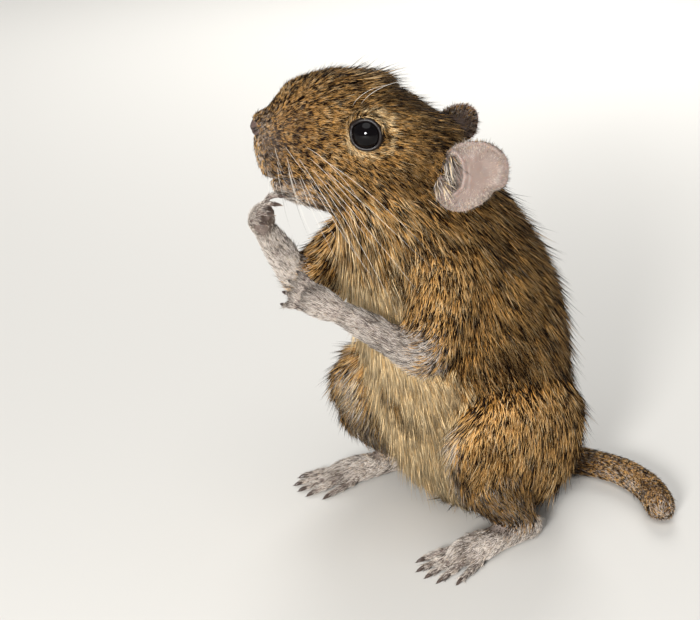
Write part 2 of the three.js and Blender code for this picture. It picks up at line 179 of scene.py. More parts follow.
class Limb:
    """A rounded form along a smooth path, given as stations: place, half width, reach over and under it."""

    def __init__(self, stations, across=LEFT):
        self.places = [station[0] for station in stations]
        sizes = [(wide, over, under[0] if under else over) for _, wide, over, *under in stations]
        sizes[0] = sizes[-1] = (0, 0, 0)
        self.squares = np.array(sizes, float) ** 2
        self.across = np.asarray(across, float)

    def section(self, share):
        """Centre, tangent, sideways, over and the three reaches, at each share of the run."""
        share = np.asarray(share, float)
        centre = spline(self.places, share)
        tangent = unit(spline(self.places, share + 1e-3) - spline(self.places, share - 1e-3))
        side = unit(self.across - (tangent @ self.across)[:, None] * tangent)
        over = np.cross(tangent, side)
        reach = np.sqrt(np.maximum(spline(self.squares, share), 0))
        return centre, tangent, side, over, reach

    def surface(self, sides, rings):
        """A closed mesh: vertices in animal millimetres and faces that point outwards."""
        polar = np.linspace(0, math.pi, rings + 1)
        share = (polar / math.pi + (1 - np.cos(polar)) / 2) / 2
        centre, _, side, over, reach = self.section(share)
        angle = np.arange(sides) * 2 * math.pi / sides
        wide = np.cos(angle)[None, :, None] * reach[:, 0, None, None]
        high = np.sin(angle)
        tall = high[None, :] * np.where(high[None, :] > 0, reach[:, 1, None], reach[:, 2, None])
        grid = centre[:, None] + wide * side[:, None] + tall[..., None] * over[:, None]
        return closed_tube(grid)

    def nearness(self, points, samples=36):
        """How far each point lies outside the form, its share of the run and its angle round it."""
        share = np.linspace(0.02, 0.98, samples)
        centre, _, side, over, reach = self.section(share)
        nearest = ((points[:, None, :] - centre[None]) ** 2).sum(axis=2).argmin(axis=1)
        away = points - centre[nearest]
        x = (away * side[nearest]).sum(axis=1)
        y = (away * over[nearest]).sum(axis=1)
        wide = np.maximum(reach[nearest, 0], 1)
        tall = np.maximum(np.where(y > 0, reach[nearest, 1], reach[nearest, 2]), 1)
        outside = (np.hypot(x / wide, y / tall) - 1) * np.minimum(wide, tall)
        return outside, share[nearest], np.arctan2(y, x)


def closed_tube(grid):
    """Joins rings of points into a closed tube whose first and last rings are single points."""
    rings, sides = grid.shape[0] - 1, grid.shape[1]
    vertices = np.vstack([grid[0, :1], grid[1:-1].reshape(-1, 3), grid[-1, :1]])
    faces = []
    last = len(vertices) - 1
    for j in range(sides):
        k = (j + 1) % sides
        faces.append((0, 1 + j, 1 + k))
        faces.append((last, last - sides + k, last - sides + j))
        for i in range(rings - 2):
            a, b = 1 + i * sides, 1 + (i + 1) * sides
            faces.append((a + j, b + j, b + k, a + k))
    return vertices, faces


def ball(centre, radii, sides=20, rings=14):
    """A closed ellipsoid, in animal millimetres."""
    polar = np.linspace(0, math.pi, rings + 1)[:, None, None]
    angle = np.arange(sides)[None, :, None] * 2 * math.pi / sides
    grid = np.concatenate(
        [np.sin(polar) * np.cos(angle), np.sin(polar) * np.sin(angle), np.cos(polar) + 0 * angle], axis=2
    )
    return closed_tube(np.asarray(centre) + grid * np.asarray(radii))


def mesh_object(name, vertices, faces):
    """A new mesh object from animal millimetres, placed in the row frame in metres."""
    mesh = bpy.data.meshes.new(name)
    mesh.from_pydata((np.asarray(vertices, float) * TO_FRAME).tolist(), [], [tuple(face) for face in faces])
    mesh.update()
    piece = bpy.data.objects.new(name, mesh)
    bpy.context.collection.objects.link(piece)
    return piece


def triangle_object(name, vertices, triangles):
    """The same for many triangles, by arrays."""
    mesh = bpy.data.meshes.new(name)
    mesh.vertices.add(len(vertices))
    mesh.vertices.foreach_set("co", (vertices * TO_FRAME).astype(np.float32).ravel())
    mesh.loops.add(triangles.size)
    mesh.loops.foreach_set("vertex_index", triangles.astype(np.int32).ravel())
    mesh.polygons.add(len(triangles))
    mesh.polygons.foreach_set("loop_start", np.arange(0, triangles.size, 3, dtype=np.int32))
    mesh.update(calc_edges=True)
    mesh.shade_smooth()
    piece = bpy.data.objects.new(name, mesh)
    bpy.context.collection.objects.link(piece)
    return piece


def paint(mesh, name, values):
    """Stores one to four numbers a vertex, for the materials to read."""
    values = np.asarray(values, np.float32)
    colours = np.zeros((len(values), 4), np.float32)
    colours[:, : values.shape[1]] = values
    layer = mesh.attributes.new(name, "FLOAT_COLOR", "POINT")
    layer.data.foreach_set("color", colours.ravel())


def only(piece):
    bpy.ops.object.select_all(action="DESELECT")
    piece.select_set(True)
    bpy.context.view_layer.objects.active = piece


def modify(piece, kind, **settings):
    """Adds a modifier with its settings and applies it."""
    only(piece)
    modifier = piece.modifiers.new(kind.title(), kind)
    for key, value in settings.items():
        setattr(modifier, key, value)
    bpy.ops.object.modifier_apply(modifier=modifier.name)


def face_outwards(piece):
    only(piece)
    bpy.ops.object.mode_set(mode="EDIT")
    bpy.ops.mesh.select_all(action="SELECT")
    bpy.ops.mesh.normals_make_consistent(inside=False)
    bpy.ops.object.mode_set(mode="OBJECT")


def joined(pieces, name):
    bpy.ops.object.select_all(action="DESELECT")
    for piece in pieces:
        piece.select_set(True)
    bpy.context.view_layer.objects.active = pieces[0]
    bpy.ops.object.join()
    pieces[0].name = name
    return pieces[0]


def dress(piece, material, slot, *nodes):
    """Gives a finished piece its material, hangs it under the root and hides the solids it stands in for."""
    piece.data.materials.clear()
    piece.data.materials.append(material)
    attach(piece, "root")
    if nodes:
        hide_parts(*nodes)


# The animal's forms, from the same stations as its solids

def trunk_form():
    return Limb([
        ((0, 0, -3), 0, 0),
        ((-1, 0, 13), BELLY_HALF * 0.88, 21.5, 22),
        ((2, 0, 32), BELLY_HALF * 0.98, 27, 25.5),
        ((9, 0, 54), BELLY_HALF, 29.5, 25),
        ((17, 0, 72), CHEST_HALF, 26.5, 22.5),
        ((24, -1.5, 87), CHEST_HALF * 0.82, 21.5, 19),
        ((29, -4, 100), CHEST_HALF * 0.62, 15, 14.5),
        ((32, -5, 110), 0, 0),
    ])


HEAD_SECTIONS = [
    (-25, -9, -9, -9, 0),
    (-20, 0.6, -9, -20, 0.84),
    (-12, 6.3, -10, -23.8, 1.0),
    (-4, 9.8, -10, -24.6, 1.0),
    (3, 12.7, -8.5, -23.4, 0.91),
    (10, 13.6, -6.5, -18.6, 0.76),
    (17, 11.2, -5, -14.4, 0.6),
    (21.6, 7.5, -4.4, -12.4, 0.48),
    (NOSE_REACH - 0.4, -3.4, -3.4, -3.4, 0),
]


def head_form():
    stations = [
        (on_head((ahead, 0, widest)), half * HEAD_HALF, top - widest, widest - bottom)
        for ahead, top, widest, bottom, half in HEAD_SECTIONS
    ]
    return Limb(stations, across=head_way((0, 1, 0)))


def limb_between(start, end, before, after, sizes):
    """A limb from start to end with tips before and after, and sizes at shares of the way."""
    start, end = np.array(start, float), np.array(end, float)
    way = unit(end - start)
    stations = [(start - way * before, 0, 0)]
    stations += [(start + (end - start) * share, wide, *tall) for share, wide, *tall in sizes]
    return Limb(stations + [(end + way * after, 0, 0)])


def upper_arm_form(side):
    arm = ARMS[side]
    return limb_between(arm["shoulder"], arm["elbow"], 11, 4.6, [(0, 8.5, 12), (0.55, 7, 9.5), (1, 5, 5.6)])


def forearm_form(side):
    arm = ARMS[side]
    return limb_between(arm["elbow"], arm["wrist"], 4.4, 2.4, [(0, 4.4, 4.6), (0.5, 3.8, 4), (1, 2.7, 2.8)])


def thigh_form(side):
    hip = (HIP[0], side * HIP[1], HIP[2])
    knee = (KNEE[0], side * KNEE[1], KNEE[2])
    sizes = [(-0.1, 13.5, 20, 19), (0.45, 12.5, 19, 17.5), (0.85, 9, 13, 12.5)]
    return limb_between(hip, knee, 16, 5.5, sizes)


def shank_form(side):
    knee = (KNEE[0] - 5, side * (KNEE[1] - 1), KNEE[2] - 8)
    heel = (HEEL[0], side * HEEL[1], HEEL[2])
    return limb_between(knee, heel, 7, 1.5, [(0, 7.6, 9.2), (0.5, 6.2, 7.4), (0.86, 4, 4.2)])


def tail_form():
    lying = TAIL_RADIUS - FLOOR_DIP / 2
    return Limb([
        ((-10, 0, 15), 0, 0),
        ((-18, 0, 10.5), 5.2, 5.6),
        ((-26, 1.5, 5.6), 4.3, 4.5),
        ((-33.5, 7, lying), TAIL_RADIUS, TAIL_RADIUS),
        ((-37, 17, lying), TAIL_RADIUS, TAIL_RADIUS),
        ((-36, 28, lying), TAIL_RADIUS * 1.03, TAIL_RADIUS),
        ((-31.5, 38, lying), TAIL_RADIUS * 1.06, TAIL_RADIUS),
        ((-28.5, 42, lying), 0, 0),
    ], across=UP)


class Digit:
    """A finger or toe: its path from root to tip, and where its claw starts and points."""

    def __init__(self, root, way, curl, length, thick, bend):
        self.curl = np.asarray(curl, float)
        self.across = unit(np.cross(way, self.curl))
        self.thick = thick
        joint = root + way * length * 0.5 + self.curl * length * 0.1 * bend
        self.tip_way = unit(way * (1 - 0.55 * bend) + self.curl * bend)
        tip = joint + self.tip_way * length * 0.5
        self.end = tip + self.tip_way * thick * 0.55
        self.form = Limb([
            (root - way * thick, 0, 0),
            (root, thick * 0.95, thick * 0.95),
            ((root + joint) / 2, thick * 0.82, thick * 0.84),
            (joint, thick * 1.02, thick),
            ((joint + tip) / 2, thick * 0.84, thick * 0.84),
            (tip, thick * 0.92, thick * 0.8, thick * 1.05),
            (tip + self.tip_way * thick * 0.8, 0, 0),
        ], across=self.across)

    def claw(self, length, radius):
        """A hooked nail that starts inside the end of the digit."""
        way = self.tip_way
        down = unit(way + self.curl * 0.5)
        steeper = unit(way + self.curl * 1.1)
        start = self.end + self.curl * 0.1
        middle = start + way * length * 0.35 + down * length * 0.2
        return Limb([
            (start - way * 0.9, 0, 0),
            (start, radius, radius * 1.15),
            (middle, radius * 0.7, radius * 0.85),
            (middle + steeper * length * 0.35, radius * 0.36, radius * 0.42),
            (middle + steeper * length * 0.62, 0, 0),
        ], across=self.across)


def hand_parts(side):
    """The palm's form, its four fingers, its pads, and the way the back of the hand faces."""
    arm = ARMS[side]
    wrist, palm = np.array(arm["wrist"]), np.array(arm["palm"])
    way = unit(palm - wrist)
    back = np.array([0.5, side * 0.8, 0.35])
    back = unit(back - way * (back @ way))
    spread = unit(np.cross(way, back))
    body = Limb([
        (wrist - way, 0, 0),
        (wrist + way * 1.2, 2.9, 2.4),
        (palm, 3.9, 2.7),
        (palm + way * 3.4, 0, 0),
    ], across=spread)
    digits = []
    for place in (-1.5, -0.5, 0.5, 1.5):
        root = palm + way * 1.6 + spread * place * 2.1
        out = unit(way + spread * place * 0.16 - back * 0.25)
        length = FINGER_LENGTH * (1 if abs(place) < 1 else 0.86)
        digits.append(Digit(root, out, -back, length, FINGER_THICKNESS / 2, 0.8))
    pad_places = ((0.6, -1.9), (1.2, 0.0), (0.6, 1.9), (-2.2, -1.3), (-2.2, 1.3))
    pads = [palm + way * ahead + spread * out - back * 2.1 for ahead, out in pad_places]
    return body, digits, pads, back


def foot_parts(side):
    """The sole's form and its five toes."""
    turn_out = 0.1
    way = unit(np.array([1, side * turn_out, 0]))
    spread = unit(np.array([-turn_out, side, 0]))
    heel = np.array([HEEL[0], side * HEEL[1], 0.0])
    sole_length = FOOT_LENGTH - TOE_LENGTH

    def along(distance, out, up):
        place = heel + way * distance + spread * out
        return np.array([place[0], place[1], up])

    sole = Limb([
        (along(-4, 0, 3.4), 0, 0),
        (along(0, 0, 3.4), 3.5, 3.4, 3.4 + FLOOR_DIP),
        (along(sole_length * 0.4, 0, 3.1), 3.7, 3.2, 3.1 + FLOOR_DIP),
        (along(sole_length * 0.8, 0, 2.6), 5.1, 2.7, 2.6 + FLOOR_DIP),
        (along(sole_length + 2.5, 0, 2.1), 0, 0),
    ], across=spread * side)
    digits = []
    for place in (-2, -1, 0, 1, 2):
        shorter = 3.4 if abs(place) == 2 else 0.5 * abs(place)
        root = along(sole_length - 1.2 - shorter, place * 2.3, 1.5)
        out = way + spread * place * 0.13
        out[2] = -0.02
        digits.append(Digit(root, unit(out), np.array([0, 0, -1.0]), TOE_LENGTH, TOE_THICKNESS / 2, 0.1))
    return sole, digits


# Materials

TICKED_SHARE = 0.45  # of the hairs are dark all along


def colour(code, alpha=1.0):
    """An sRGB hex colour as the linear values that shaders take."""
    values = [int(code[i:i + 2], 16) / 255 for i in (1, 3, 5)]
    linear = [v / 12.92 if v <= 0.04045 else ((v + 0.055) / 1.055) ** 2.4 for v in values]
    return (*linear, alpha)


def add_node(tree, kind, links=(), inputs=(), **settings):
    """Adds a node with its settings. Links are (socket, output) and inputs are (socket, plain value)."""
    node = tree.nodes.new(kind)
    for key, value in settings.items():
        setattr(node, key, value)
    for socket, value in inputs:
        node.inputs[socket].default_value = value
    for socket, output in links:
        tree.links.new(output, node.inputs[socket])
    return node


def new_material(name, **shader):
    """A material with one shader node, whose plain values are set on the shader's own sockets."""
    material = bpy.data.materials.new(name)
    material.use_nodes = True
    tree = material.node_tree
    bsdf = tree.nodes["Principled BSDF"]
    for socket, value in shader.items():
        bsdf.inputs[socket.replace("_", " ")].default_value = value
    return material, tree, bsdf


def ramp(tree, output, stops):
    """A colour ramp over the stops, given as (position, hex colour)."""
    node = add_node(tree, "ShaderNodeValToRGB", [("Fac", output)])
    elements = node.color_ramp.elements
    while len(elements) < len(stops):
        elements.new(0.5)
    for element, (position, code) in zip(elements, stops):
        element.position = position
        element.color = colour(code)
    return node.outputs["Color"]


def mixed(tree, share, first, second, blend="MIX"):
    """Two colours mixed by a share. Each may be an output, a hex colour or linear values."""
    node = add_node(tree, "ShaderNodeMix", data_type="RGBA", blend_type=blend)
    for socket, given in ((0, share), (6, first), (7, second)):
        if isinstance(given, str):
            node.inputs[socket].default_value = colour(given)
        elif isinstance(given, (int, float, tuple)):
            node.inputs[socket].default_value = given
        else:
            tree.links.new(given, node.inputs[socket])
    return node.outputs[2]


def maths(tree, operation, *values):
    """A Math node over outputs or numbers."""
    node = add_node(tree, "ShaderNodeMath", operation=operation)
    for socket, given in enumerate(values):
        if isinstance(given, (int, float)):
            node.inputs[socket].default_value = given
        else:
            tree.links.new(given, node.inputs[socket])
    return node.outputs[0]


def read_parts(tree, name):
    """The three numbers of a painted layer, and its alpha."""
    layer = add_node(tree, "ShaderNodeAttribute", attribute_name=name)
    parts = add_node(tree, "ShaderNodeSeparateColor", [("Color", layer.outputs["Color"])])
    return [*parts.outputs, layer.outputs["Alpha"]]


def object_noise(tree, scale, detail=3.0):
    """Noise on Object coordinates. Scale is in bumps a metre."""
    place = add_node(tree, "ShaderNodeTexCoord")
    shape = [("Scale", scale), ("Detail", detail), ("Roughness", 0.55)]
    noise = add_node(tree, "ShaderNodeTexNoise", [("Vector", place.outputs["Object"])], shape)
    return noise.outputs["Fac"]


def raise_grain(tree, bsdf, height, strength, depth):
    """Lets a height pattern bump the surface. Depth is in millimetres."""
    size = [("Strength", strength), ("Distance", depth * MM)]
    bump = add_node(tree, "ShaderNodeBump", [("Height", height)], size)
    tree.links.new(bump.outputs["Normal"], bsdf.inputs["Normal"])


def coat_colour(tree, along, chance, cream, silver, dusky):
    """Agouti hair: a dark root, an ochre band and a black tip, among whole black, gold and pale hairs."""
    banded = ramp(tree, along, [
        (0.0, "#120802"), (0.28, "#3c1e07"), (0.45, "#b08044"), (0.8, "#d8ab6c"), (0.92, "#6b451f"),
        (1.0, "#1a0f05"),
    ])
    golden = ramp(tree, along, [(0.0, "#1f1004"), (0.42, "#b68441"), (1.0, "#eec78c")])
    ticked = ramp(tree, along, [(0.0, "#0b0401"), (0.5, "#1b0b03"), (1.0, "#080402")])
    pale = ramp(tree, along, [(0.0, "#3f2713"), (0.45, "#c49a62"), (1.0, "#f6ddb0")])
    brown = mixed(tree, maths(tree, "LESS_THAN", chance, TICKED_SHARE), banded, ticked)
    brown = mixed(tree, maths(tree, "GREATER_THAN", chance, 0.74), brown, golden)
    brown = mixed(tree, maths(tree, "GREATER_THAN", chance, 0.92), brown, pale)
    buff = ramp(tree, along, [(0.0, "#d8b57e"), (0.4, "#f3d29c"), (1.0, "#ffedc8")])
    buff_dark = ramp(tree, along, [(0.0, "#a8875a"), (0.5, "#d6b17a"), (1.0, "#e6cb9a")])
    buff = mixed(tree, maths(tree, "LESS_THAN", chance, 0.25), buff, buff_dark)
    grey = ramp(tree, along, [(0.0, "#8a7f76"), (0.5, "#bcb1a6"), (1.0, "#d6cec5")])
    grey_dark = ramp(tree, along, [(0.0, "#423b37"), (1.0, "#857b74")])
    grey = mixed(tree, maths(tree, "LESS_THAN", chance, 0.24), grey, grey_dark)
    dark = ramp(tree, along, [(0.0, "#120d09"), (0.6, "#33271c"), (1.0, "#1a130d")])
    dark_pale = ramp(tree, along, [(0.0, "#221a13"), (0.6, "#7a6449"), (1.0, "#94795a")])
    dark = mixed(tree, maths(tree, "GREATER_THAN", chance, 0.62), dark, dark_pale)
    result = mixed(tree, dusky, brown, dark)
    result = mixed(tree, silver, result, grey)
    return mixed(tree, cream, result, buff)


def coat_material():
    """Guard and wool hair of a rodent: agouti pigment along each hair, painted shade between locks, a soft,
    low sheen.
    """
    material, tree, bsdf = new_material("agouti_hair", Roughness=0.62, IOR=1.55, Specular_IOR_Level=0.05)
    along, chance, lock_shade, _ = read_parts(tree, "strand")
    cream, silver, dusky, _ = read_parts(tree, "zones")
    base = coat_colour(tree, along, chance, cream, silver, dusky)
    # Painted shade: the third strand number multiplies whole locks of hair darker, as the shade between them.
    shade = ramp(tree, lock_shade, [(0.0, "#544434"), (0.65, "#ffffff")])
    tree.links.new(mixed(tree, 1.0, base, shade, "MULTIPLY"), bsdf.inputs["Base Color"])
    return material


def hide_material():
    """Skin with the coat's markings, bare grey skin on the paws, and ringed scales on the tail."""
    material, tree, bsdf = new_material("haired_skin", Roughness=0.6, IOR=1.4, Specular_IOR_Level=0.3)
    cream, silver, dusky, bare = read_parts(tree, "zones")
    along, around, on_tail, _ = read_parts(tree, "tail_rings")
    fine = object_noise(tree, 900)
    fur = mixed(tree, fine, "#130802", "#3b200a")
    fur = mixed(tree, dusky, fur, "#241a13")
    fur = mixed(tree, silver, fur, mixed(tree, fine, "#6f655d", "#a69a8f"))
    fur = mixed(tree, cream, fur, "#e2c08a")
    skin = mixed(tree, fine, "#4d403b", "#85736b")
    base = mixed(tree, bare, fur, skin)
    ring_width = 0.85  # millimetres of tail
    ring = maths(tree, "ABSOLUTE", maths(tree, "SINE", maths(tree, "MULTIPLY", along, math.pi / ring_width)))
    scale = maths(tree, "ABSOLUTE", maths(tree, "SINE", maths(tree, "MULTIPLY", around, 15.0)))
    grain = maths(tree, "MULTIPLY", ring, maths(tree, "MULTIPLY_ADD", scale, 0.35, 0.65))
    tail = mixed(tree, grain, "#3b2c22", "#8d6a48")
    base = mixed(tree, on_tail, base, tail)
    tree.links.new(base, bsdf.inputs["Base Color"])
    height = maths(tree, "ADD", maths(tree, "MULTIPLY", grain, on_tail), maths(tree, "MULTIPLY", fine, 0.6))
    raise_grain(tree, bsdf, height, 0.6, 0.3)
    return material


def ear_material():
    """Thin bare ear skin: grey pink, a little light passes through, faint veins and pores, painted shade deep
    in the canal and painted light along the rim and the fold.
    """
    material, tree, bsdf = new_material("ear_skin", Roughness=0.5, IOR=1.4, Specular_IOR_Level=0.35)
    bsdf.inputs["Subsurface Weight"].default_value = 0.35
    bsdf.inputs["Subsurface Radius"].default_value = (1.0, 0.35, 0.2)
    bsdf.inputs["Subsurface Scale"].default_value = 0.0008
    depth, back, edge, _ = read_parts(tree, "ear_parts")
    fine = object_noise(tree, 1300, 4)
    broad = object_noise(tree, 160, 2)
    inner = mixed(tree, broad, "#a08e83", "#5d4d46")
    # Painted shade: deep in the canal the inner skin turns near black.
    inner = mixed(tree, depth, inner, "#2b1a18")
    outer = mixed(tree, fine, "#4c3a31", "#735c4f")
    base = mixed(tree, back, inner, outer)
    # Painted light: the rim and the ridge of the fold are lightened.
    base = mixed(tree, edge, base, "#9a8880")
    base = mixed(tree, maths(tree, "MULTIPLY", fine, 0.35), base, "#7d6a64")
    tree.links.new(base, bsdf.inputs["Base Color"])
    raise_grain(tree, bsdf, fine, 0.35, 0.2)
    return material


def eye_material(darkest):
    """A wet, nearly black eye with a hard, clear surface."""
    material, tree, bsdf = new_material("wet_eye", Roughness=0.03, IOR=1.34, Specular_IOR_Level=0.32)
    broad = object_noise(tree, 500, 1)
    tree.links.new(mixed(tree, broad, darkest, "#080506"), bsdf.inputs["Base Color"])
    return material


def lid_material():
    """Bare dark lid rims, moist and finely wrinkled."""
    material, tree, bsdf = new_material("lid_skin", Roughness=0.38, IOR=1.4, Specular_IOR_Level=0.45)
    fine = object_noise(tree, 1600, 3)
    tree.links.new(mixed(tree, fine, "#0b0706", "#1f1613"), bsdf.inputs["Base Color"])
    raise_grain(tree, bsdf, fine, 0.4, 0.2)
    return material


def nose_material():
    """The bare end of the nose: grey brown, moist, pebbled, with painted shade in the nostrils."""
    material, tree, bsdf = new_material("nose_skin", Roughness=0.42, IOR=1.4, Specular_IOR_Level=0.45)
    fine = object_noise(tree, 2200, 3)
    pit = read_parts(tree, "nose_parts")[0]
    base = mixed(tree, fine, "#3c2e29", "#6d5952")
    # Painted shade: the nostril pits are painted near black.
    tree.links.new(mixed(tree, pit, base, "#0d0808"), bsdf.inputs["Base Color"])
    raise_grain(tree, bsdf, fine, 0.5, 0.2)
    return material


def claw_material():
    """Keratin claws: dark horn, paler to the tip, half glossy."""
    material, tree, bsdf = new_material("claw_horn", Roughness=0.32, IOR=1.54, Specular_IOR_Level=0.5)
    along = read_parts(tree, "strand")[0]
    fine = object_noise(tree, 1500, 2)
    horn = ramp(tree, along, [(0.0, "#2b201c"), (0.6, "#4d3d34"), (1.0, "#a89480")])
    base = mixed(tree, maths(tree, "MULTIPLY", fine, 0.4), horn, "#1d1512")
    tree.links.new(base, bsdf.inputs["Base Color"])
    return material


def whisker_material():
    """Stiff whisker hair: clear white, darker at the root."""
    material, tree, bsdf = new_material("whisker_hair", Roughness=0.35, IOR=1.55, Specular_IOR_Level=0.4)
    along, chance, _, _ = read_parts(tree, "strand")
    pale = ramp(tree, along, [(0.0, "#6f6256"), (0.25, "#d8cfc2"), (1.0, "#f4efe6")])
    dark = ramp(tree, along, [(0.0, "#15100e"), (1.0, "#3b322c")])
    base = mixed(tree, maths(tree, "LESS_THAN", chance, 0.18), pale, dark)
    tree.links.new(base, bsdf.inputs["Base Color"])
    return material


# The skin

def cad_copy(name):
    """A copy of a CAD node's mesh with its doubles merged."""
    copy = bpy.data.objects.new(f"copy_{name}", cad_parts[name].data.copy())
    bpy.context.collection.objects.link(copy)
    only(copy)
    bpy.ops.object.mode_set(mode="EDIT")
    bpy.ops.mesh.select_all(action="SELECT")
    bpy.ops.mesh.remove_doubles(threshold=1e-6)
    bpy.ops.object.mode_set(mode="OBJECT")
    return copy


class Surface:
    """A mesh read into arrays: places in animal millimetres, outward normals, triangles and edges."""

    def __init__(self, piece):
        mesh = piece.data
        count = len(mesh.vertices)
        places = np.empty(count * 3, np.float32)
        mesh.vertices.foreach_get("co", places)
        self.places = places.reshape(-1, 3).astype(float) / TO_FRAME
        mesh.calc_loop_triangles()
        triangles = np.empty(len(mesh.loop_triangles) * 3, np.int32)
        mesh.loop_triangles.foreach_get("vertices", triangles)
        self.triangles = triangles.reshape(-1, 3)
        edges = np.empty(len(mesh.edges) * 2, np.int32)
        mesh.edges.foreach_get("vertices", edges)
        self.edges = edges.reshape(-1, 2)
        normals = np.empty(count * 3, np.float32)
        mesh.vertices.foreach_get("normal", normals)
        self.normals = unit(normals.reshape(-1, 3).astype(float) * (-1, -1, 1))

    def spread(self, values, rounds, hold=None):
        """Averages a field with its neighbours, round after round. Hold keeps a share of the old value."""
        values = np.array(values, float)
        flat = values[:, None] if values.ndim == 1 else values
        a, b = self.edges[:, 0], self.edges[:, 1]
        count = len(flat)
        degree = np.bincount(a, minlength=count) + np.bincount(b, minlength=count)
        keep = np.zeros(count) if hold is None else hold
        for _ in range(rounds):
            for k in range(flat.shape[1]):
                column = flat[:, k]
                total = np.bincount(a, column[b], count) + np.bincount(b, column[a], count)
                average = 0.5 * column + 0.5 * total / np.maximum(degree, 1)
                flat[:, k] = keep * column + (1 - keep) * average
        return flat[:, 0] if values.ndim == 1 else flat


# Coat by region: hair length in mm, skin depth under the solids' outline, lift in degrees
COAT = {
    "trunk": (7.6, 2.3, 13),
    "head": (3.6, 1.2, 14),
    "upper_arm": (4.6, 1.3, 13),
    "forearm": (2.9, 0.6, 7),
    "hand": (1.6, 0.12, 6),
    "thigh": (6.2, 1.9, 12),
    "shank": (3.8, 1.0, 11),
    "foot": (2.0, 0.15, 6),
    "tail": (1.7, 0.3, 12),
}
PAWS = ("hand", "foot", "forearm")
REGION_BLEND = 1.3  # millimetres over which one region's coat passes into the next


def all_forms():
    forms = {"trunk": trunk_form(), "head": head_form(), "tail": tail_form()}
    for side in (1, -1):
        forms[f"upper_arm{side}"] = upper_arm_form(side)
        forms[f"forearm{side}"] = forearm_form(side)
        forms[f"hand{side}"] = hand_parts(side)[0]
        forms[f"thigh{side}"] = thigh_form(side)
        forms[f"shank{side}"] = shank_form(side)
        forms[f"foot{side}"] = foot_parts(side)[0]
        for kind, parts in (("hand", hand_parts(side)[1]), ("foot", foot_parts(side)[1])):
            for number, digit in enumerate(parts):
                forms[f"{kind}{side}_digit{number}"] = digit.form
    return forms


def region_of(name):
    return name.split("_digit")[0].rstrip("1").rstrip("-")


class Lie:
    """Where each surface point lies on the animal, and how its coat grows there."""

    def __init__(self, surface):
        self.surface = surface
        points = surface.places
        forms = all_forms()
        outside, share, angle, flow = [], [], [], []
        for name, form in forms.items():
            far, where, turn = form.nearness(points)
            tangent = form.section(where)[1]
            outside.append(far)
            share.append(where)
            angle.append(turn)
            if name == "trunk":
                tangent = -tangent
            elif region_of(name) == "thigh":
                tangent = unit(0.5 * tangent - 0.7 * UP)
            flow.append(tangent)
        outside = np.array(outside)
        weights = np.exp(-(outside - outside.min(axis=0)) / REGION_BLEND)
        weights /= weights.sum(axis=0)
        names = list(forms)
        flow[names.index("head")] = head_flow(points)
        self.weight = {name: weights[i] for i, name in enumerate(names)}
        self.share = {name: share[i] for i, name in enumerate(names)}
        self.angle = {name: angle[i] for i, name in enumerate(names)}
        self.names = names
        self.nearest = weights.argmax(axis=0)
        coat = np.array([COAT[region_of(name)] for name in names])
        values = np.einsum("nv,nk->vk", weights, coat)
        values[:, 0] *= self.length_share(points)
        values[:, 1] *= self.length_share(points)
        place = in_head(points)
        forehead = self.region("head") * smooth(2, 11, place[:, 2]) * smooth(-9, 4, place[:, 0])
        values[:, 2] += 10 * forehead
        self.length, self.depth, self.lift = surface.spread(values, 10).T
        self.flow = np.einsum("nv,nvk->vk", weights, np.array(flow))
        for side in (1, -1):
            self.depth += 1.6 * blob(in_head(points), (-15.3, side * 16, -9.4), (4.5, 4, 6))

    def region(self, kind):
        return sum(weight for name, weight in self.weight.items() if region_of(name) == kind)

    def digits(self):
        return sum(weight for name, weight in self.weight.items() if "_digit" in name)

    def length_share(self, points):
        """Hair is shortest at the nose and round the eyes, and grows to the crown and the cheeks."""
        place = in_head(points)
        share = 0.34 + 0.8 * smooth(24, -12, place[:, 0])
        share += 0.25 * smooth(-8, -20, place[:, 2]) * smooth(16, 2, place[:, 0])
        beside = np.abs(place[:, 1])
        eye = np.exp(-(((place[:, 0]) / 6.5) ** 2 + ((place[:, 2]) / 6.5) ** 2)) * smooth(7, 12, beside)
        share *= 1 - 0.62 * eye
        for side in (1, -1):
            share *= 1 - 0.68 * blob(place, (-15.8, side * 15.6, -9.4), (6, 4.5, 8.5))
        head = self.region("head")
        return head * share + (1 - head)

    def settle_flow(self, rounds):
        """Smooths the lie of the hair over the skin and lays it along the surface."""
        surface = self.surface
        flow = lay_flat(self.flow, surface.normals)
        for _ in range(rounds):
            flow = lay_flat(surface.spread(flow, 6), surface.normals)
        self.flow = part_round_eyes(surface, flow)


def lay_flat(flow, normals):
    return unit(flow - (flow * normals).sum(axis=1)[:, None] * normals)


def head_flow(points):
    """Hair grows away from the nose, back over the crown, and back and down over the cheeks."""
    place = in_head(points)
    from_nose = unit(place - np.array([26.5, 0, -2.5]))
    back = np.zeros_like(place)
    back[:, 0] = -1
    back[:, 2] = -0.85 * smooth(2, -14, place[:, 2]) * smooth(24, 8, place[:, 0])
    back[:, 2] -= 0.35 * smooth(-4, -20, place[:, 0])
    near = smooth(8, 23, place[:, 0])[:, None]
    return head_way(unit(near * from_nose + (1 - near) * back))


def part_round_eyes(surface, flow):
    """Turns hair that would cross an eye, so that it runs round the lids."""
    for side in (1, -1):
        centre = on_head((0, side * (EYE_SPREAD + 3), 0.3))
        away = surface.places - centre
        depth = np.linalg.norm(away, axis=1)
        away = away - (away @ gaze(side))[:, None] * gaze(side)
        radial = lay_flat(away, surface.normals)
        near = smooth(8.5, 4.5, np.linalg.norm(away, axis=1)) * smooth(14, 8, depth)
        towards = np.minimum((flow * radial).sum(axis=1), 0.15) - 0.15
        flow = unit(flow - (near * towards)[:, None] * radial)
    return flow


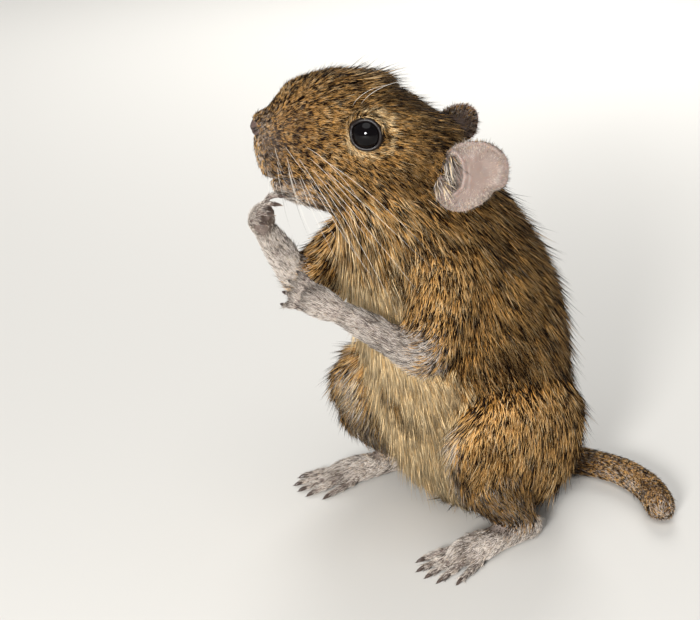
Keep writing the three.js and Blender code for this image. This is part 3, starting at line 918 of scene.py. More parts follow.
def head_markings(points):
    """Cream, silver and dusky shares on the head, the same on both sides."""
    place = in_head(points)
    beside = np.abs(place[:, 1])
    folded = np.stack([place[:, 0], beside, place[:, 2]], axis=1)

    ring = np.hypot(folded[:, 0] / 1.1, folded[:, 2])
    ring = np.exp(-(((ring - 4.6) / 1.1) ** 2)) * smooth(7, 11, beside)
    turn = np.arctan2(folded[:, 2], folded[:, 0])
    over_and_under = np.maximum(np.cos(turn - 2.3), np.cos(turn + 0.75)) ** 2
    cream = 0.7 * ring * (0.4 + 0.6 * over_and_under)

    chin = blob(folded, (13, 3, -19), (8, 8, 5))
    throat = blob(folded, (-4, 4, -25), (14, 8, 5))
    lips = blob(folded, (24, 4, -5), (6, 6, 8))
    silver = 0.75 * chin + 0.5 * throat + 0.38 * lips

    nose_bridge = blob(folded, (24, 0, 1), (6, 7, 6))
    crown = blob(folded, (4, 0, 13), (13, 8, 4))
    before_ear = blob(folded, (-16, 14, -1), (4, 4, 5))
    whisker_pad = blob(folded, (20, 7, -6), (6, 6, 6))
    dusky = 0.5 * nose_bridge + 0.5 * crown + 0.95 * before_ear + 0.25 * whisker_pad
    return cream, silver, dusky + 0.22 * smooth(-2, 9, folded[:, 2])


def markings(points, lie):
    """The coat's colour zones: cream, silver, dusky and bare, each from 0 to 1."""
    head, trunk, tail = lie.region("head"), lie.region("trunk"), lie.region("tail")
    hand, foot, shank = lie.region("hand"), lie.region("foot"), lie.region("shank")
    normals = lie.surface.normals
    cream, silver, dusky = (head * share for share in head_markings(points))

    front = smooth(0.1, 0.75, normals[:, 0])
    low = smooth(80, 60, points[:, 2])
    belly = trunk * front * smooth(24, 13, np.abs(points[:, 1])) * (0.22 + 0.78 * low)
    inner_leg = (lie.region("thigh") + shank) * smooth(0.0, -0.7, normals[:, 1] * np.sign(points[:, 1]))
    forearm = sum(
        lie.weight[f"forearm{side}"] * smooth(-0.45, 0.25, lie.share[f"forearm{side}"]) for side in (1, -1)
    )
    rump = trunk * blob(points, (-20, 0, 16), (9, 9, 8))
    back = trunk * smooth(-0.2, -0.9, normals[:, 0])
    cream = cream + 1.25 * belly + 0.3 * inner_leg
    silver = silver + 0.7 * inner_leg + forearm + hand + 0.95 * foot + 0.3 * shank
    dusky = dusky + 0.5 * rump + 0.12 * back
    bare = lie.digits() + 0.35 * hand + 0.3 * foot
    zones = np.clip(np.stack([cream, silver, dusky, bare], axis=1), 0, 1)
    zones[:, 1] *= 1 - zones[:, 0]

    tail_end = lie.weight["tail"] * smooth(0.8, 0.97, lie.share["tail"])
    on_tail = tail[:, None] * (0, 0.15, 0.5) + tail_end[:, None] * (0, 0.3, -0.2)
    zones[:, :3] = zones[:, :3] * (1 - tail)[:, None] + on_tail
    return np.clip(zones, 0, 1)


def carve_mouth(points):
    """How deep the closed mouth, the lip edges and the cleft under the nose cut into the skin."""
    place = in_head(points)
    beside = np.abs(place[:, 1])
    level = np.interp(beside, [0, 4, 7.4, 10], [-12.8, -13, -13, -12.6])
    ahead = smooth(11.5, 14.5, place[:, 0])
    groove = np.exp(-(((place[:, 2] - level) / 0.75) ** 2)) * ahead
    lip = np.exp(-(((place[:, 2] - level - 1.7) / 1.0) ** 2)) * ahead
    cleft = np.exp(-((place[:, 1] / 0.5) ** 2)) * smooth(19, 22, place[:, 0])
    cleft *= smooth(-13, -11, place[:, 2]) * smooth(-2.4, -4, place[:, 2])
    return 1.1 * groove - 0.3 * lip + 0.6 * cleft, groove * ahead


def build_skin(settings):
    """One skin for all the flesh: fused, smoothed, drawn in by the coat's depth, and carved."""
    copies = [cad_copy(name) for name in FLESH if "forepaw" not in name and "hind_foot" not in name]
    for copy in copies:
        modify(copy, "DISPLACE", strength=0.28 * MM, mid_level=0.0)
    for side in (1, -1):
        palm, fingers, pads, _ = hand_parts(side)
        sole, toes = foot_parts(side)
        parts = [(palm, 20, 14), (sole, 24, 20)] + [(digit.form, 14, 14) for digit in fingers + toes]
        copies += [mesh_object("paw_part", *form.surface(sides, rings)) for form, sides, rings in parts]
        copies += [mesh_object("pad", *ball(pad, (1.1, 1.1, 1.1))) for pad in pads]
    skin = joined(copies, "skin")
    modify(skin, "REMESH", mode="VOXEL", voxel_size=settings.skin_grain * MM)
    surface = Surface(skin)
    lie = Lie(surface)
    fine = np.clip(lie.region("hand") + lie.region("foot"), 0, 1)
    points = surface.spread(surface.places, 6, hold=0.5 * fine)
    coarse = sum(lie.region(name) for name in ("trunk", "thigh", "upper_arm", "shank"))
    coarse = surface.spread(np.clip(coarse, 0, 1), 8)
    points = surface.spread(points, 50, hold=1 - coarse)
    write_places(skin, points)
    surface = Surface(skin)
    groove, in_mouth = carve_mouth(surface.places)
    depth = surface.spread(lie.depth, 10)
    points = surface.places - surface.normals * (depth + groove)[:, None]
    points[:, 2] = np.maximum(points[:, 2], 0.02)
    write_places(skin, points)
    skin.data.shade_smooth()
    surface = Surface(skin)
    lie.surface = surface
    lie.settle_flow(10)
    zones = markings(surface.places, lie)
    zones[:, 2] = np.maximum(zones[:, 2], 0.9 * in_mouth)
    paint(skin.data, "zones", zones)
    tail_length = 66
    run = lie.share["tail"] * tail_length
    paint(skin.data, "tail_rings", np.stack([run, np.cos(lie.angle["tail"]), lie.region("tail")], axis=1))
    lay_uv(skin, lie)
    return skin, surface, lie, zones


def write_places(piece, points):
    piece.data.vertices.foreach_set("co", (points * TO_FRAME).astype(np.float32).ravel())
    piece.data.update()


def lay_uv(skin, lie):
    """Unrolls each region round its own axis, each into its own column of the map."""
    spot = unrolled(lie)
    mesh = skin.data
    corners = np.empty(len(mesh.loops), np.int32)
    mesh.loops.foreach_get("vertex_index", corners)
    layer = mesh.uv_layers.new(name="UVMap")
    layer.data.foreach_set("uv", spot[corners].astype(np.float32).ravel())


def unrolled(lie):
    """For each skin point: its turn round its region's axis, and its share along it."""
    column = lie.nearest
    index = np.arange(len(column))
    share = np.array([lie.share[name] for name in lie.names])[column, index]
    turn = np.array([lie.angle[name] for name in lie.names])[column, index]
    count = len(lie.names)
    return np.stack([(column + 0.04 + 0.92 * (turn / (2 * math.pi) + 0.5)) / count, share], axis=1)


# The coat

# four triangles each, to stay under the limit of a piece
STRANDS_A_PIECE = 48000  # four triangles each, so a piece holds at most 192,000 triangles


class Roots:
    """Points where hairs grow: places, normals, lie, lengths, colour zones and spots on the map."""

    fields = ("places", "normals", "flow", "length", "lift", "zones", "spot", "width", "key")

    def __init__(self, **values):
        for field in self.fields:
            setattr(self, field, np.asarray(values[field], float))

    def pick(self, chosen):
        return Roots(**{field: getattr(self, field)[chosen] for field in self.fields})

    @staticmethod
    def together(groups):
        return Roots(**{field: np.concatenate([getattr(g, field) for g in groups]) for field in Roots.fields})


def sow(surface, lie, zones, density, seed):
    """Scatters roots over the skin, as many a square millimetre as density says at each vertex."""
    draw = np.random.default_rng(seed)
    corners = surface.places[surface.triangles]
    sides = corners[:, 1:] - corners[:, :1]
    area = 0.5 * np.linalg.norm(np.cross(sides[:, 0], sides[:, 1]), axis=1)
    wanted = area * density[surface.triangles].mean(axis=1)
    count = np.floor(wanted + draw.random(len(wanted))).astype(int)
    face = np.repeat(np.arange(len(count)), count)
    u, v = draw.random(len(face)), draw.random(len(face))
    over = u + v > 1
    u[over], v[over] = 1 - u[over], 1 - v[over]
    weights = np.stack([1 - u - v, u, v], axis=1)[..., None]
    ids = surface.triangles[face]

    def read(field):
        field = field[:, None] if field.ndim == 1 else field
        return (field[ids] * weights).sum(axis=1)

    spot = unrolled(lie)[ids[:, 0]]
    return Roots(
        places=read(surface.places), normals=unit(read(surface.normals)), flow=unit(read(lie.flow)),
        length=read(lie.length)[:, 0], lift=read(lie.lift)[:, 0], zones=read(zones), spot=spot,
        width=np.ones(len(face)), key=lie.nearest[ids[:, 0]],
    )


def tufts(roots, size, seed):
    """Which tuft each root is in: a steady random number for the tuft, and the way to the tuft's middle."""
    wobble = np.stack([ripple(roots.places, size * 1.7, seed + k) for k in range(3)], axis=1) * 0.35
    cell = np.floor(roots.places / size + wobble)
    number = np.abs(np.sin(cell @ np.array([12.9898, 78.233, 37.719])) * 43758.5453) % 1.0
    centre = (cell + 0.5 - wobble) * size
    return number, centre - roots.places


def strands(roots, seed, thickness):
    """Thin closed spindles of four triangles, from a buried root over a raised waist to the tip."""
    draw = np.random.default_rng(seed)
    count = len(roots.places)
    lock = np.stack([ripple(roots.places, 2.2, 40 + k) for k in range(3)], axis=1)
    wide_lock = np.stack([ripple(roots.places, 6.5, 50 + k) for k in range(3)], axis=1)
    stray = draw.normal(0, 1, (count, 3))
    guard = draw.random(count) < 0.07
    flow = unit(roots.flow + 0.1 * lock + 0.14 * wide_lock + 0.16 * stray)
    flow = lay_flat(flow, roots.normals)
    side = np.cross(flow, roots.normals)

    # Hairs of one tuft share a colour and lean together; tufts are wider where the coat is long.
    (wide_number, wide_inward), (fine_number, fine_inward) = (tufts(roots, size, 70) for size in (0.95, 0.6))
    long_coat = roots.length > 5
    number = np.where(long_coat, wide_number, fine_number)
    inward = np.where(long_coat[:, None], wide_inward, fine_inward)
    chance = np.where(draw.random(count) < 0.78, number, draw.random(count))
    chance = np.where(guard, draw.random(count) * 0.5, chance)
    golden = chance > TICKED_SHARE

    length = roots.length * (0.7 + 0.45 * draw.random(count)) * (1 + 0.12 * wide_lock[:, 0])
    length = length * np.where(golden | guard, 1.04, 0.92)
    length = length * np.where(guard, 1.45, 1.0)
    lift = np.radians(roots.lift) * (1 + 0.4 * stray[:, 1] + 0.2 * lock[:, 1]) * np.where(guard, 1.3, 1.0)
    lift = np.clip(lift, math.radians(2.5), math.radians(55))
    way = flow * np.cos(lift)[:, None] + roots.normals * np.sin(lift)[:, None]
    way = unit(way + side * 0.06 * stray[:, :1])
    inward = inward - (inward * roots.normals).sum(axis=1)[:, None] * roots.normals
    gather = 0.7 * np.clip(roots.length / 3, 0, 1)
    way = unit(length[:, None] * way + gather[:, None] * inward)

    waist = 0.34
    tip = roots.places + length[:, None] * way
    half = thickness * roots.width * (0.75 + 0.5 * draw.random(count)) * np.where(guard, 0.6, 1.0) / 2
    half = half * np.where(golden, 1.12, 0.95)
    middle = roots.places + (waist * length)[:, None] * way + roots.normals * (half * 0.7)[:, None]
    base = roots.places - roots.normals * HAIR_ROOT
    places = np.stack([base, middle + side * half[:, None], middle - side * half[:, None], tip], axis=1)
    pattern = np.array([(0, 1, 2), (3, 2, 1), (0, 2, 3), (0, 3, 1)])
    triangles = (np.arange(count)[:, None, None] * 4 + pattern[None]).reshape(-1, 3)

    # Painted shade: a share from the lock noise that the hair material turns into shade between locks.
    lock_shade = np.clip(0.6 + 0.25 * lock[:, 1] + 0.35 * wide_lock[:, 1] + 0.2 * draw.normal(0, 1, count), 0, 1)
    strand = np.zeros((count, 4, 3))
    strand[:, :, 0] = (0, waist, waist, 1)
    strand[:, :, 1] = chance[:, None]
    strand[:, :, 2] = lock_shade[:, None]
    patch = 0.0015 * np.array([(0, -1), (1, 0), (-1, 0), (0, 1)])
    spots = roots.spot[:, None, :] + patch[None]
    pick = np.where(draw.random((count, 4)) < 0.5, ((number * 7.3) % 1.0)[:, None], draw.random((count, 4)))
    zones = np.clip((roots.zones - 0.1 - 0.8 * pick) * 3 + 0.5, 0, 1)
    zones = np.repeat(zones[:, None, :], 4, axis=1)
    return places.reshape(-1, 3), triangles, strand.reshape(-1, 3), zones.reshape(-1, 4), spots.reshape(-1, 2)


def coat_piece(name, roots, seed, thickness, material):
    """One joined mesh of strands with its colour layers and its bake map."""
    low, high = roots.spot.min(axis=0), roots.spot.max(axis=0)
    roots.spot = 0.01 + 0.98 * (roots.spot - low) / np.maximum(high - low, 1e-6)
    places, triangles, strand, zones, spots = strands(roots, seed, thickness)
    places[:, 2] = np.maximum(places[:, 2], 0.05)
    piece = triangle_object(name, places, triangles)
    paint(piece.data, "strand", strand)
    paint(piece.data, "zones", zones)
    layer = piece.data.uv_layers.new(name="OFBake")
    layer.data.foreach_set("uv", spots[triangles.ravel()].astype(np.float32).ravel())
    dress(piece, material, "coat")
    return piece


# Settings and operators

class DeguSettings(bpy.types.PropertyGroup):
    skin_grain: bpy.props.FloatProperty(
        name="Skin grain", description="Size of the skin's faces in millimetres", default=0.66, min=0.3, max=2
    )
    head_density: bpy.props.FloatProperty(
        name="Head hairs", description="Hairs a square millimetre on the head", default=28.0, min=0, max=60
    )
    body_density: bpy.props.FloatProperty(
        name="Body hairs", description="Hairs a square millimetre on the body", default=11.0, min=0, max=30
    )
    paw_density: bpy.props.FloatProperty(
        name="Paw hairs", description="Hairs a square millimetre on paws", default=25.0, min=0, max=40
    )
    hair_thickness: bpy.props.FloatProperty(
        name="Hair thickness", description="Width of a hair in millimetres", default=0.27, min=0.05, max=1
    )
    lens: bpy.props.FloatProperty(
        name="Lens", description="Focal length of the camera", default=92.0, min=20, max=200, unit="CAMERA"
    )
    eye_colour: bpy.props.FloatVectorProperty(
        name="Eye", description="Darkest part of the eyes", default=colour("#030203"), size=4, subtype="COLOR"
    )
    floor_colour: bpy.props.FloatVectorProperty(
        name="Floor", description="Colour of the floor", default=colour("#d3d0ca"), size=4, subtype="COLOR"
    )


STATE = {}  # what the skin's operator leaves for the coat's


def hair_share():
    return 1.0


class DEGU_OT_skin(bpy.types.Operator):
    """Builds the one skin that stands for all the flesh"""

    bl_idname = "degu.skin"
    bl_label = "Skin"

    def execute(self, context):
        skin, surface, lie, zones = build_skin(context.scene.degu)
        dress(skin, hide_material(), "coat", *FLESH)
        STATE.update(surface=surface, lie=lie, zones=zones)
        return {"FINISHED"}


class DEGU_OT_coat(bpy.types.Operator):
    """Grows the coat: short on the face and paws, longer on the body"""

    bl_idname = "degu.coat"
    bl_label = "Coat"

    def execute(self, context):
        settings = context.scene.degu
        surface, lie, zones = STATE["surface"], STATE["lie"], STATE["zones"]
        thin = hair_share()
        head = lie.region("head")
        paws = sum(lie.region(name) for name in (*PAWS, "tail"))
        density = (
            settings.head_density * head
            + settings.paw_density * paws
            + settings.body_density * np.clip(1 - head - paws, 0, 1)
        )
        density = density * growth(surface, lie)
        roots = sow(surface, lie, zones, density * thin, 11)
        roots.width = hair_width(lie, roots) / math.sqrt(thin)
        order = np.lexsort((roots.spot[:, 1], roots.key))
        material = coat_material()
        pieces = math.ceil(len(order) / STRANDS_A_PIECE)
        for number, chosen in enumerate(np.array_split(order, pieces)):
            name, seed = f"coat_{number + 1}", 100 + number
            coat_piece(name, roots.pick(chosen), seed, settings.hair_thickness, material)
        return {"FINISHED"}


def growth(surface, lie):
    """Where hair grows: none on eyes, nose tip, lips, soles, pads and under what lies on the floor."""
    points, normals = surface.places, surface.normals
    place = in_head(points)
    share = np.ones(len(points))
    for side in (1, -1):
        away = points - eye_centre(side)
        depth = away @ gaze(side)
        across = np.linalg.norm(away - depth[:, None] * gaze(side), axis=1)
        share *= np.where((across < LID_REACH) & (depth > -2), 0, 1)
    share *= blob(place, (NOSE_REACH - 0.2, 0, -0.9), (2.6, 2.9, 2.6)) < 0.65
    share *= points[:, 2] >= 0.6
    palms = lie.region("hand") * smooth(-0.1, -0.5, (normals * palm_back(points)).sum(axis=1))
    share *= 1 - palms
    share *= 1 - 0.8 * carve_mouth(points)[1]
    share *= 1 - 0.55 * lie.region("tail")
    share *= 1 - 0.35 * lie.digits()
    return share


def palm_back(points):
    """The way the back of the hand faces, for the hand on the same side as each point."""
    between_hands = -4.5
    return np.where((points[:, 1] > between_hands)[:, None], hand_parts(1)[3], hand_parts(-1)[3])


def hair_width(lie, roots):
    """Finer hairs on the face and paws, and where the coat is short."""
    ahead = in_head(roots.places)[:, 0]
    face = (roots.key == lie.names.index("head")) * (0.28 + 0.2 * smooth(0, 20, ahead))
    paws = [number for number, name in enumerate(lie.names) if region_of(name) in PAWS]
    width = (1 - face) * np.where(np.isin(roots.key, paws), 0.66, 1.0)
    return width * np.clip(0.35 + roots.length / 8, 0.45, 1.0)


class DEGU_OT_eyes(bpy.types.Operator):
    """Sets both eyes in their lids"""

    bl_idname = "degu.eyes"
    bl_label = "Eyes and lids"

    def execute(self, context):
        eye, lid = eye_material(tuple(context.scene.degu.eye_colour)), lid_material()
        for name, side in (("left", 1), ("right", -1)):
            dress(eyeball(f"eyeball_{name}", side), eye, "eye", f"eye_{name}")
            dress(eyelids(f"lids_{name}", side), lid, "coat")
        return {"FINISHED"}


def eyeball(name, side):
    """A ball with a slightly fuller cornea."""
    bpy.ops.object.select_all(action="DESELECT")
    radius = EYE_RADIUS * MM
    bpy.ops.mesh.primitive_uv_sphere_add(segments=64, ring_count=40, radius=radius, location=(0, 0, 0))
    piece = bpy.context.object
    piece.name = name
    places = np.array([v.co for v in piece.data.vertices]) / MM
    bulge = 0.3 * smooth(0.35, 0.95, places[:, 2] / EYE_RADIUS)
    places += unit(places) * bulge[:, None]
    turn = Vector(UP).rotation_difference(Vector(gaze(side) * (-1, -1, 1))).to_matrix()
    places = places @ np.array(turn).T * MM + eye_centre(side) * TO_FRAME
    piece.data.vertices.foreach_set("co", places.astype(np.float32).ravel())
    piece.data.update()
    piece.data.shade_smooth()
    return piece


def eyelids(name, side):
    """Both lid rims as one ring: it clings to the eyeball inside and dives under the coat outside."""
    centre, way, ahead = eye_centre(side), gaze(side), head_way((1, 0, 0))
    forward = unit(ahead - (ahead @ way) * way)
    upward = np.cross(way, forward)
    upward = upward * np.sign(upward[2])
    around, across = 96, 12
    turn = np.arange(around) * 2 * math.pi / around
    corner = np.exp(-(((turn - 0.55) / 0.32) ** 2)) + 0.5 * np.exp(-(((turn - math.pi - 0.8) / 0.4) ** 2))
    opening = 3.35 - 0.1 * np.sin(turn) + 0.3 * corner
    grid = []
    for i in range(across + 1):
        share = i / across
        reach = opening + (0.85 + 0.6 * corner) * share
        x, y = reach * np.cos(turn), reach * np.sin(turn)
        on_ball = np.sqrt((EYE_RADIUS + 0.3) ** 2 - np.minimum(reach, EYE_RADIUS) ** 2)
        crest = 0.25 * math.sin(math.pi * min(share * 1.5, 1)) * (1 + 0.3 * np.sin(turn))
        high = on_ball + crest - 2.6 * smooth(0.45, 1.0, share) - 0.3 * (share < 0.05) + 0.35 * corner * share
        grid.append(centre + forward * x[:, None] + upward * y[:, None] + way * high[:, None])
    faces = []
    for start in range(0, across * around, around):
        for j in range(around):
            k = (j + 1) % around
            faces.append((start + j, start + around + j, start + around + k, start + k))
    piece = mesh_object(name, np.concatenate(grid), faces)
    modify(piece, "SOLIDIFY", thickness=0.3 * MM, offset=-1.0)
    face_outwards(piece)
    piece.data.shade_smooth()
    return piece


class DEGU_OT_ears(bpy.types.Operator):
    """Models both ear cups with rim, folds and canal, and their hair"""

    bl_idname = "degu.ears"
    bl_label = "Ears"

    def execute(self, context):
        material = ear_material()
        groups = []
        for number, (name, side) in enumerate((("left", 1), ("right", -1))):
            piece, layer = ear_cup(f"ear_cup_{name}", side)
            paint(piece.data, "ear_parts", layer)
            dress(piece, material, "ear", f"ear_{name}")
            groups += ear_hair(side, 60 + number, hair_share())
        thickness = context.scene.degu.hair_thickness
        coat_piece("coat_ears", Roots.together(groups), 77, thickness, bpy.data.materials["agouti_hair"])
        return {"FINISHED"}


# Reach of the ear's edge from its middle, in degrees from the tip round by the top, and in millimetres
EAR_OUTLINE = [
    (0, 9.0), (15, 9.6), (32, 9.9), (53, 9.5), (85, 8.8), (113, 9.0), (135, 9.4), (160, 9.6), (187, 10.0),
    (200, 10.2), (215, 10.1), (230, 9.4), (248, 8.2), (274, 6.7), (301, 6.2), (322, 6.2), (332, 6.3),
    (338, 7.6), (348, 8.7), (360, 9.0),
]
# The fold that borders the canal behind, along the ear and across it, from its top down
EAR_FOLD = [(-4.6, 6.6), (-3.0, 6.0), (-2.0, 3.8), (-1.7, 0.8), (-2.3, -2.0), (-4.6, -3.2)]
EAR_CANAL = [(-7.6, 3.4), (-6.2, 1.0), (-4.7, -1.9)]


def ear_axes(side):
    """The way the ear faces, the way to its tip, the way to its top, and its middle."""
    facing = unit(head_way((0.38, side * 0.88, 0.3)))
    to_tip = head_way((-1, side * 0.35, 0.12))
    to_tip = unit(to_tip - (to_tip @ facing) * facing)
    wide = np.cross(facing, to_tip)
    return facing, to_tip, wide * np.sign(wide[2]), on_head((-23.2, side * 20.8, -9.6))


def from_line(x, y, line):
    """How far points lie from a line of straight runs."""
    nearest = np.full(x.shape, 1e9)
    for (ax, ay), (bx, by) in zip(line, line[1:]):
        dx, dy = bx - ax, by - ay
        share = np.clip(((x - ax) * dx + (y - ay) * dy) / (dx * dx + dy * dy), 0, 1)
        nearest = np.minimum(nearest, np.hypot(x - ax - dx * share, y - ay - dy * share))
    return nearest


def ear_surface(side, radial, turn, skin):
    """Points of the ear, and how deep in the canal they are. Radial runs from the middle to the edge."""
    facing, to_tip, wide, centre = ear_axes(side)
    degrees = np.degrees(turn) % 360
    softened = [np.interp((degrees + off) % 360, *zip(*EAR_OUTLINE)) for off in (-5, -2, 0, 2, 5)]
    reach = np.mean(softened, axis=0)
    x, y = reach * radial * np.cos(turn), reach * radial * np.sin(turn)
    from_canal = np.hypot(x + 5.2, y - 0.5)
    dish = -4.0 + 4.0 * smooth(0, 13, from_canal) - 1.0 * radial**8
    fold = np.exp(-((from_line(x, y, EAR_FOLD) / 0.75) ** 2)) * (radial < 1)
    canal = np.exp(-((from_line(x, y, EAR_CANAL) / 1.05) ** 2))
    knob = np.exp(-(((x + 0.9) / 1.7) ** 2 + ((y - 5.2) / 1.5) ** 2))
    bead = np.exp(-(((radial - 0.95) / 0.035) ** 2)) * smooth(150, 120, degrees) * smooth(20, 50, degrees)
    creases = 0.16 * np.cos(turn * 26) * np.exp(-(((degrees - 222) / 22) ** 2)) * smooth(0.45, 0.7, radial)
    waves = 0.3 * np.sin(2.1 * turn + 0.6) * radial**2 + 0.18 * np.sin(0.9 * x + 0.7) * np.sin(0.8 * y)
    front = smooth(0.8, 1.0, radial) * smooth(110, 150, degrees) * smooth(260, 225, degrees)
    high = dish + 1.5 * fold - 2.6 * canal + 0.8 * knob + 0.4 * bead + creases + waves - 1.2 * front + skin
    point = centre + to_tip * x[:, None] + wide * y[:, None] + facing * high[:, None]
    return point, canal, fold


def ear_cup(name, side):
    """A thin shell: an inner face, a rounded rim and an outer face, closed at both centres."""
    around, inward = 144, 40
    turn = np.arange(around) * 2 * math.pi / around
    rows, parts = [], []
    radials = np.sin(np.linspace(0, 1, inward + 1) * math.pi / 2) ** 0.9
    for face in (1, -1):
        for radial in radials[:-1] if face == 1 else radials[::-1][1:]:
            thick = (0.28 + 0.25 * smooth(1.0, 0.3, radial)) * math.sqrt(max(1 - radial**12, 0))
            level = np.full(around, face * thick)
            point, canal, fold = ear_surface(side, np.full(around, radial), turn, level)
            rows.append(point)
            # The ear parts: how deep in the canal for painted shade on the inner face, the back face, and the
            # rim and fold for painted light.
            edge = smooth(0.86, 1.0, radial) * np.ones(around)
            back = np.full(around, 1.0 if face == -1 else 0.0)
            parts.append(np.stack([canal * (face == 1), back, np.maximum(edge, 0.7 * fold)], axis=1))
        if face == 1:
            point, canal, _ = ear_surface(side, np.ones(around), turn, np.zeros(around))
            rows.append(point)
            parts.append(np.stack([0 * canal, 0 * canal + 0.5, 0 * canal + 1], axis=1))
    grid, layer = np.array(rows), np.array(parts)
    vertices, faces = closed_tube(grid)
    layer = np.vstack([layer[0, :1], layer[1:-1].reshape(-1, 3), layer[-1, :1]])
    piece = mesh_object(name, vertices, faces)
    face_outwards(piece)
    piece.data.shade_smooth()
    return piece, layer


def ear_hair(side, seed, thin):
    """Fine pale down inside the ear, brown hair on its back, and long silvery hairs across the canal."""
    draw = np.random.default_rng(seed)
    facing, to_tip, wide, _ = ear_axes(side)

    def roots(count, radial, turn, face, length, lift, zones, width, flow=None):
        def at(radial, turn):
            return ear_surface(side, radial, turn, np.full(count, face * 0.3))[0]

        place = at(radial, turn)
        out = unit(at(np.minimum(radial + 0.02, 1), turn) - at(radial - 0.02, turn))
        normal = unit(np.cross(out, at(radial, turn + 0.02) - place))
        normal *= np.sign((normal @ facing) * face)[:, None]
        return Roots(
            places=place, normals=normal, flow=lay_flat(out if flow is None else flow, normal), length=length,
            lift=np.full(count, float(lift)), zones=np.tile(zones, (count, 1)),
            spot=np.stack([turn / (2 * math.pi) + (face < 0) * 1.1, radial], axis=1),
            width=np.full(count, float(width)), key=np.zeros(count),
        )

    def scattered(count, inmost, outmost, shortest, longest, **rest):
        count = int(count * thin)
        radial = np.sqrt(draw.uniform(inmost, outmost, count))
        turn = draw.uniform(0, 2 * math.pi, count)
        return roots(count, radial, turn, length=draw.uniform(shortest, longest, count), **rest)

    wider = 1 / math.sqrt(thin)
    down = scattered(3200, 0.02, 0.95, 0.5, 1.0, face=1, lift=14, zones=(0.1, 0.85, 0, 0), width=0.2 * wider)
    back = scattered(5000, 0.05, 0.9, 0.9, 1.6, face=-1, lift=5, zones=(0, 0.35, 0.5, 0), width=0.45 * wider)
    count = 110
    turn = np.radians(draw.uniform(128, 190, count))
    flow = to_tip * 0.62 - wide * 0.78 + facing * 0.1 + draw.normal(0, 0.07, (count, 3))
    radial, length = draw.uniform(0.75, 0.97, count), draw.uniform(4.5, 8.5, count)
    long_hairs = roots(count, radial, turn, 1, length, 14, (0.25, 1.0, 0, 0), 0.8, flow)
    return [down, back, long_hairs]


class DEGU_OT_nose(bpy.types.Operator):
    """Shapes the bare end of the nose with both nostrils"""

    bl_idname = "degu.nose"
    bl_label = "Nose"

    def execute(self, context):
        vertices, faces = ball((0, 0, 0), (1, 1, 1), 72, 56)
        way = unit(vertices)
        places = way * NOSE_RADII
        folded = np.stack([way[:, 0], np.abs(way[:, 1]), way[:, 2]], axis=1)
        nostril = unit([(2.4, 1.2, -0.9), (2.0, 2.0, -0.45), (1.3, 2.6, 0.3), (0.4, 2.9, 0.7)])
        step = np.linspace(0, 1, 8)[:, None]
        runs = [start + (end - start) * step for start, end in zip(nostril, nostril[1:])]
        comma = unit(np.concatenate(runs))
        from_comma = np.linalg.norm(folded[:, None] - comma[None], axis=2).min(axis=1)
        wide = 0.15 + 0.06 * smooth(0.5, 0.9, way[:, 0])
        pit = np.exp(-((from_comma / wide) ** 2))
        wing = np.exp(-(((from_comma - 0.34) / 0.14) ** 2))
        cleft = np.exp(-((places[:, 1] / 0.3) ** 2))
        cleft *= smooth(0.6, -0.4, places[:, 2]) * smooth(0, 1, places[:, 0])
        pebbles = 0.05 * ripple(places, 0.35, 9)
        places -= way * (1.3 * pit - 0.22 * wing + 0.35 * cleft + pebbles)[:, None]
        piece = mesh_object("nose_tip", on_head(places + NOSE_TIP), faces)
        piece.data.shade_smooth()
        # Painted shade: how far into each nostril, for the material to paint near black.
        paint(piece.data, "nose_parts", np.clip(1.6 * pit, 0, 1)[:, None])
        dress(piece, nose_material(), "coat")
        return {"FINISHED"}


class DEGU_OT_claws(bpy.types.Operator):
    """Adds a curved claw to every finger and toe"""

    bl_idname = "degu.claws"
    bl_label = "Claws"

    def execute(self, context):
        forms = []
        for side in (1, -1):
            forms += [digit.claw(CLAW_LENGTH * 0.75, 0.46) for digit in hand_parts(side)[1]]
            forms += [digit.claw(CLAW_LENGTH, 0.56) for digit in foot_parts(side)[1]]
        claws = many_as_one("claws", [(form.surface(12, 10), 0) for form in forms])
        dress(claws, claw_material(), "paw")
        return {"FINISHED"}


def many_as_one(name, parts):
    """Many tapering tubes as one mesh. Each part is (vertices, faces) and a number for its colour."""
    vertices, faces, layer, start = [], [], [], 0
    for (places, polygons), chance in parts:
        vertices.append(places)
        faces += [[start + corner for corner in polygon] for polygon in polygons]
        layer.append(np.stack([np.linspace(0, 1, len(places)), np.full(len(places), chance)], axis=1))
        start += len(places)
    vertices = np.vstack(vertices)
    vertices[:, 2] = np.maximum(vertices[:, 2], 0.03)
    piece = mesh_object(name, vertices, faces)
    piece.data.shade_smooth()
    paint(piece.data, "strand", np.vstack(layer))
    return piece


class DEGU_OT_whiskers(bpy.types.Operator):
    """Sets the whiskers in both pads and over the eyes"""

    bl_idname = "degu.whiskers"
    bl_label = "Whiskers"

    def execute(self, context):
        draw = np.random.default_rng(5)
        parts = []
        for side in (1, -1):
            for row, place in np.ndindex(5, 6):
                root = (23.5 - place * 1.9 - row * 0.3, side * (4.9 + 0.8 * place), -3.4 - row * 1.75)
                length = 8 + 6.0 * place + draw.uniform(-2, 2)
                out = (0.5 - 0.26 * place, side * 1.0, 0.05 - 0.26 * row)
                droop = np.array([-0.25 - 0.13 * place, side * 0.1, -1.15]) + draw.normal(0, 0.15, 3)
                parts.append((whisker(root, out, droop, length, 0.056), draw.random()))
            for number in range(2):
                root = (1.5 + 1.8 * number, side * 12.5, 7.2)
                out = (-0.4, side * 0.8, 1.0 + 0.2 * number)
                parts.append((whisker(root, out, (-0.9, side * 0.4, 0.2), 17 - 4 * number, 0.055), 0.9))
        dress(many_as_one("whiskers", parts), whisker_material(), "coat")
        return {"FINISHED"}


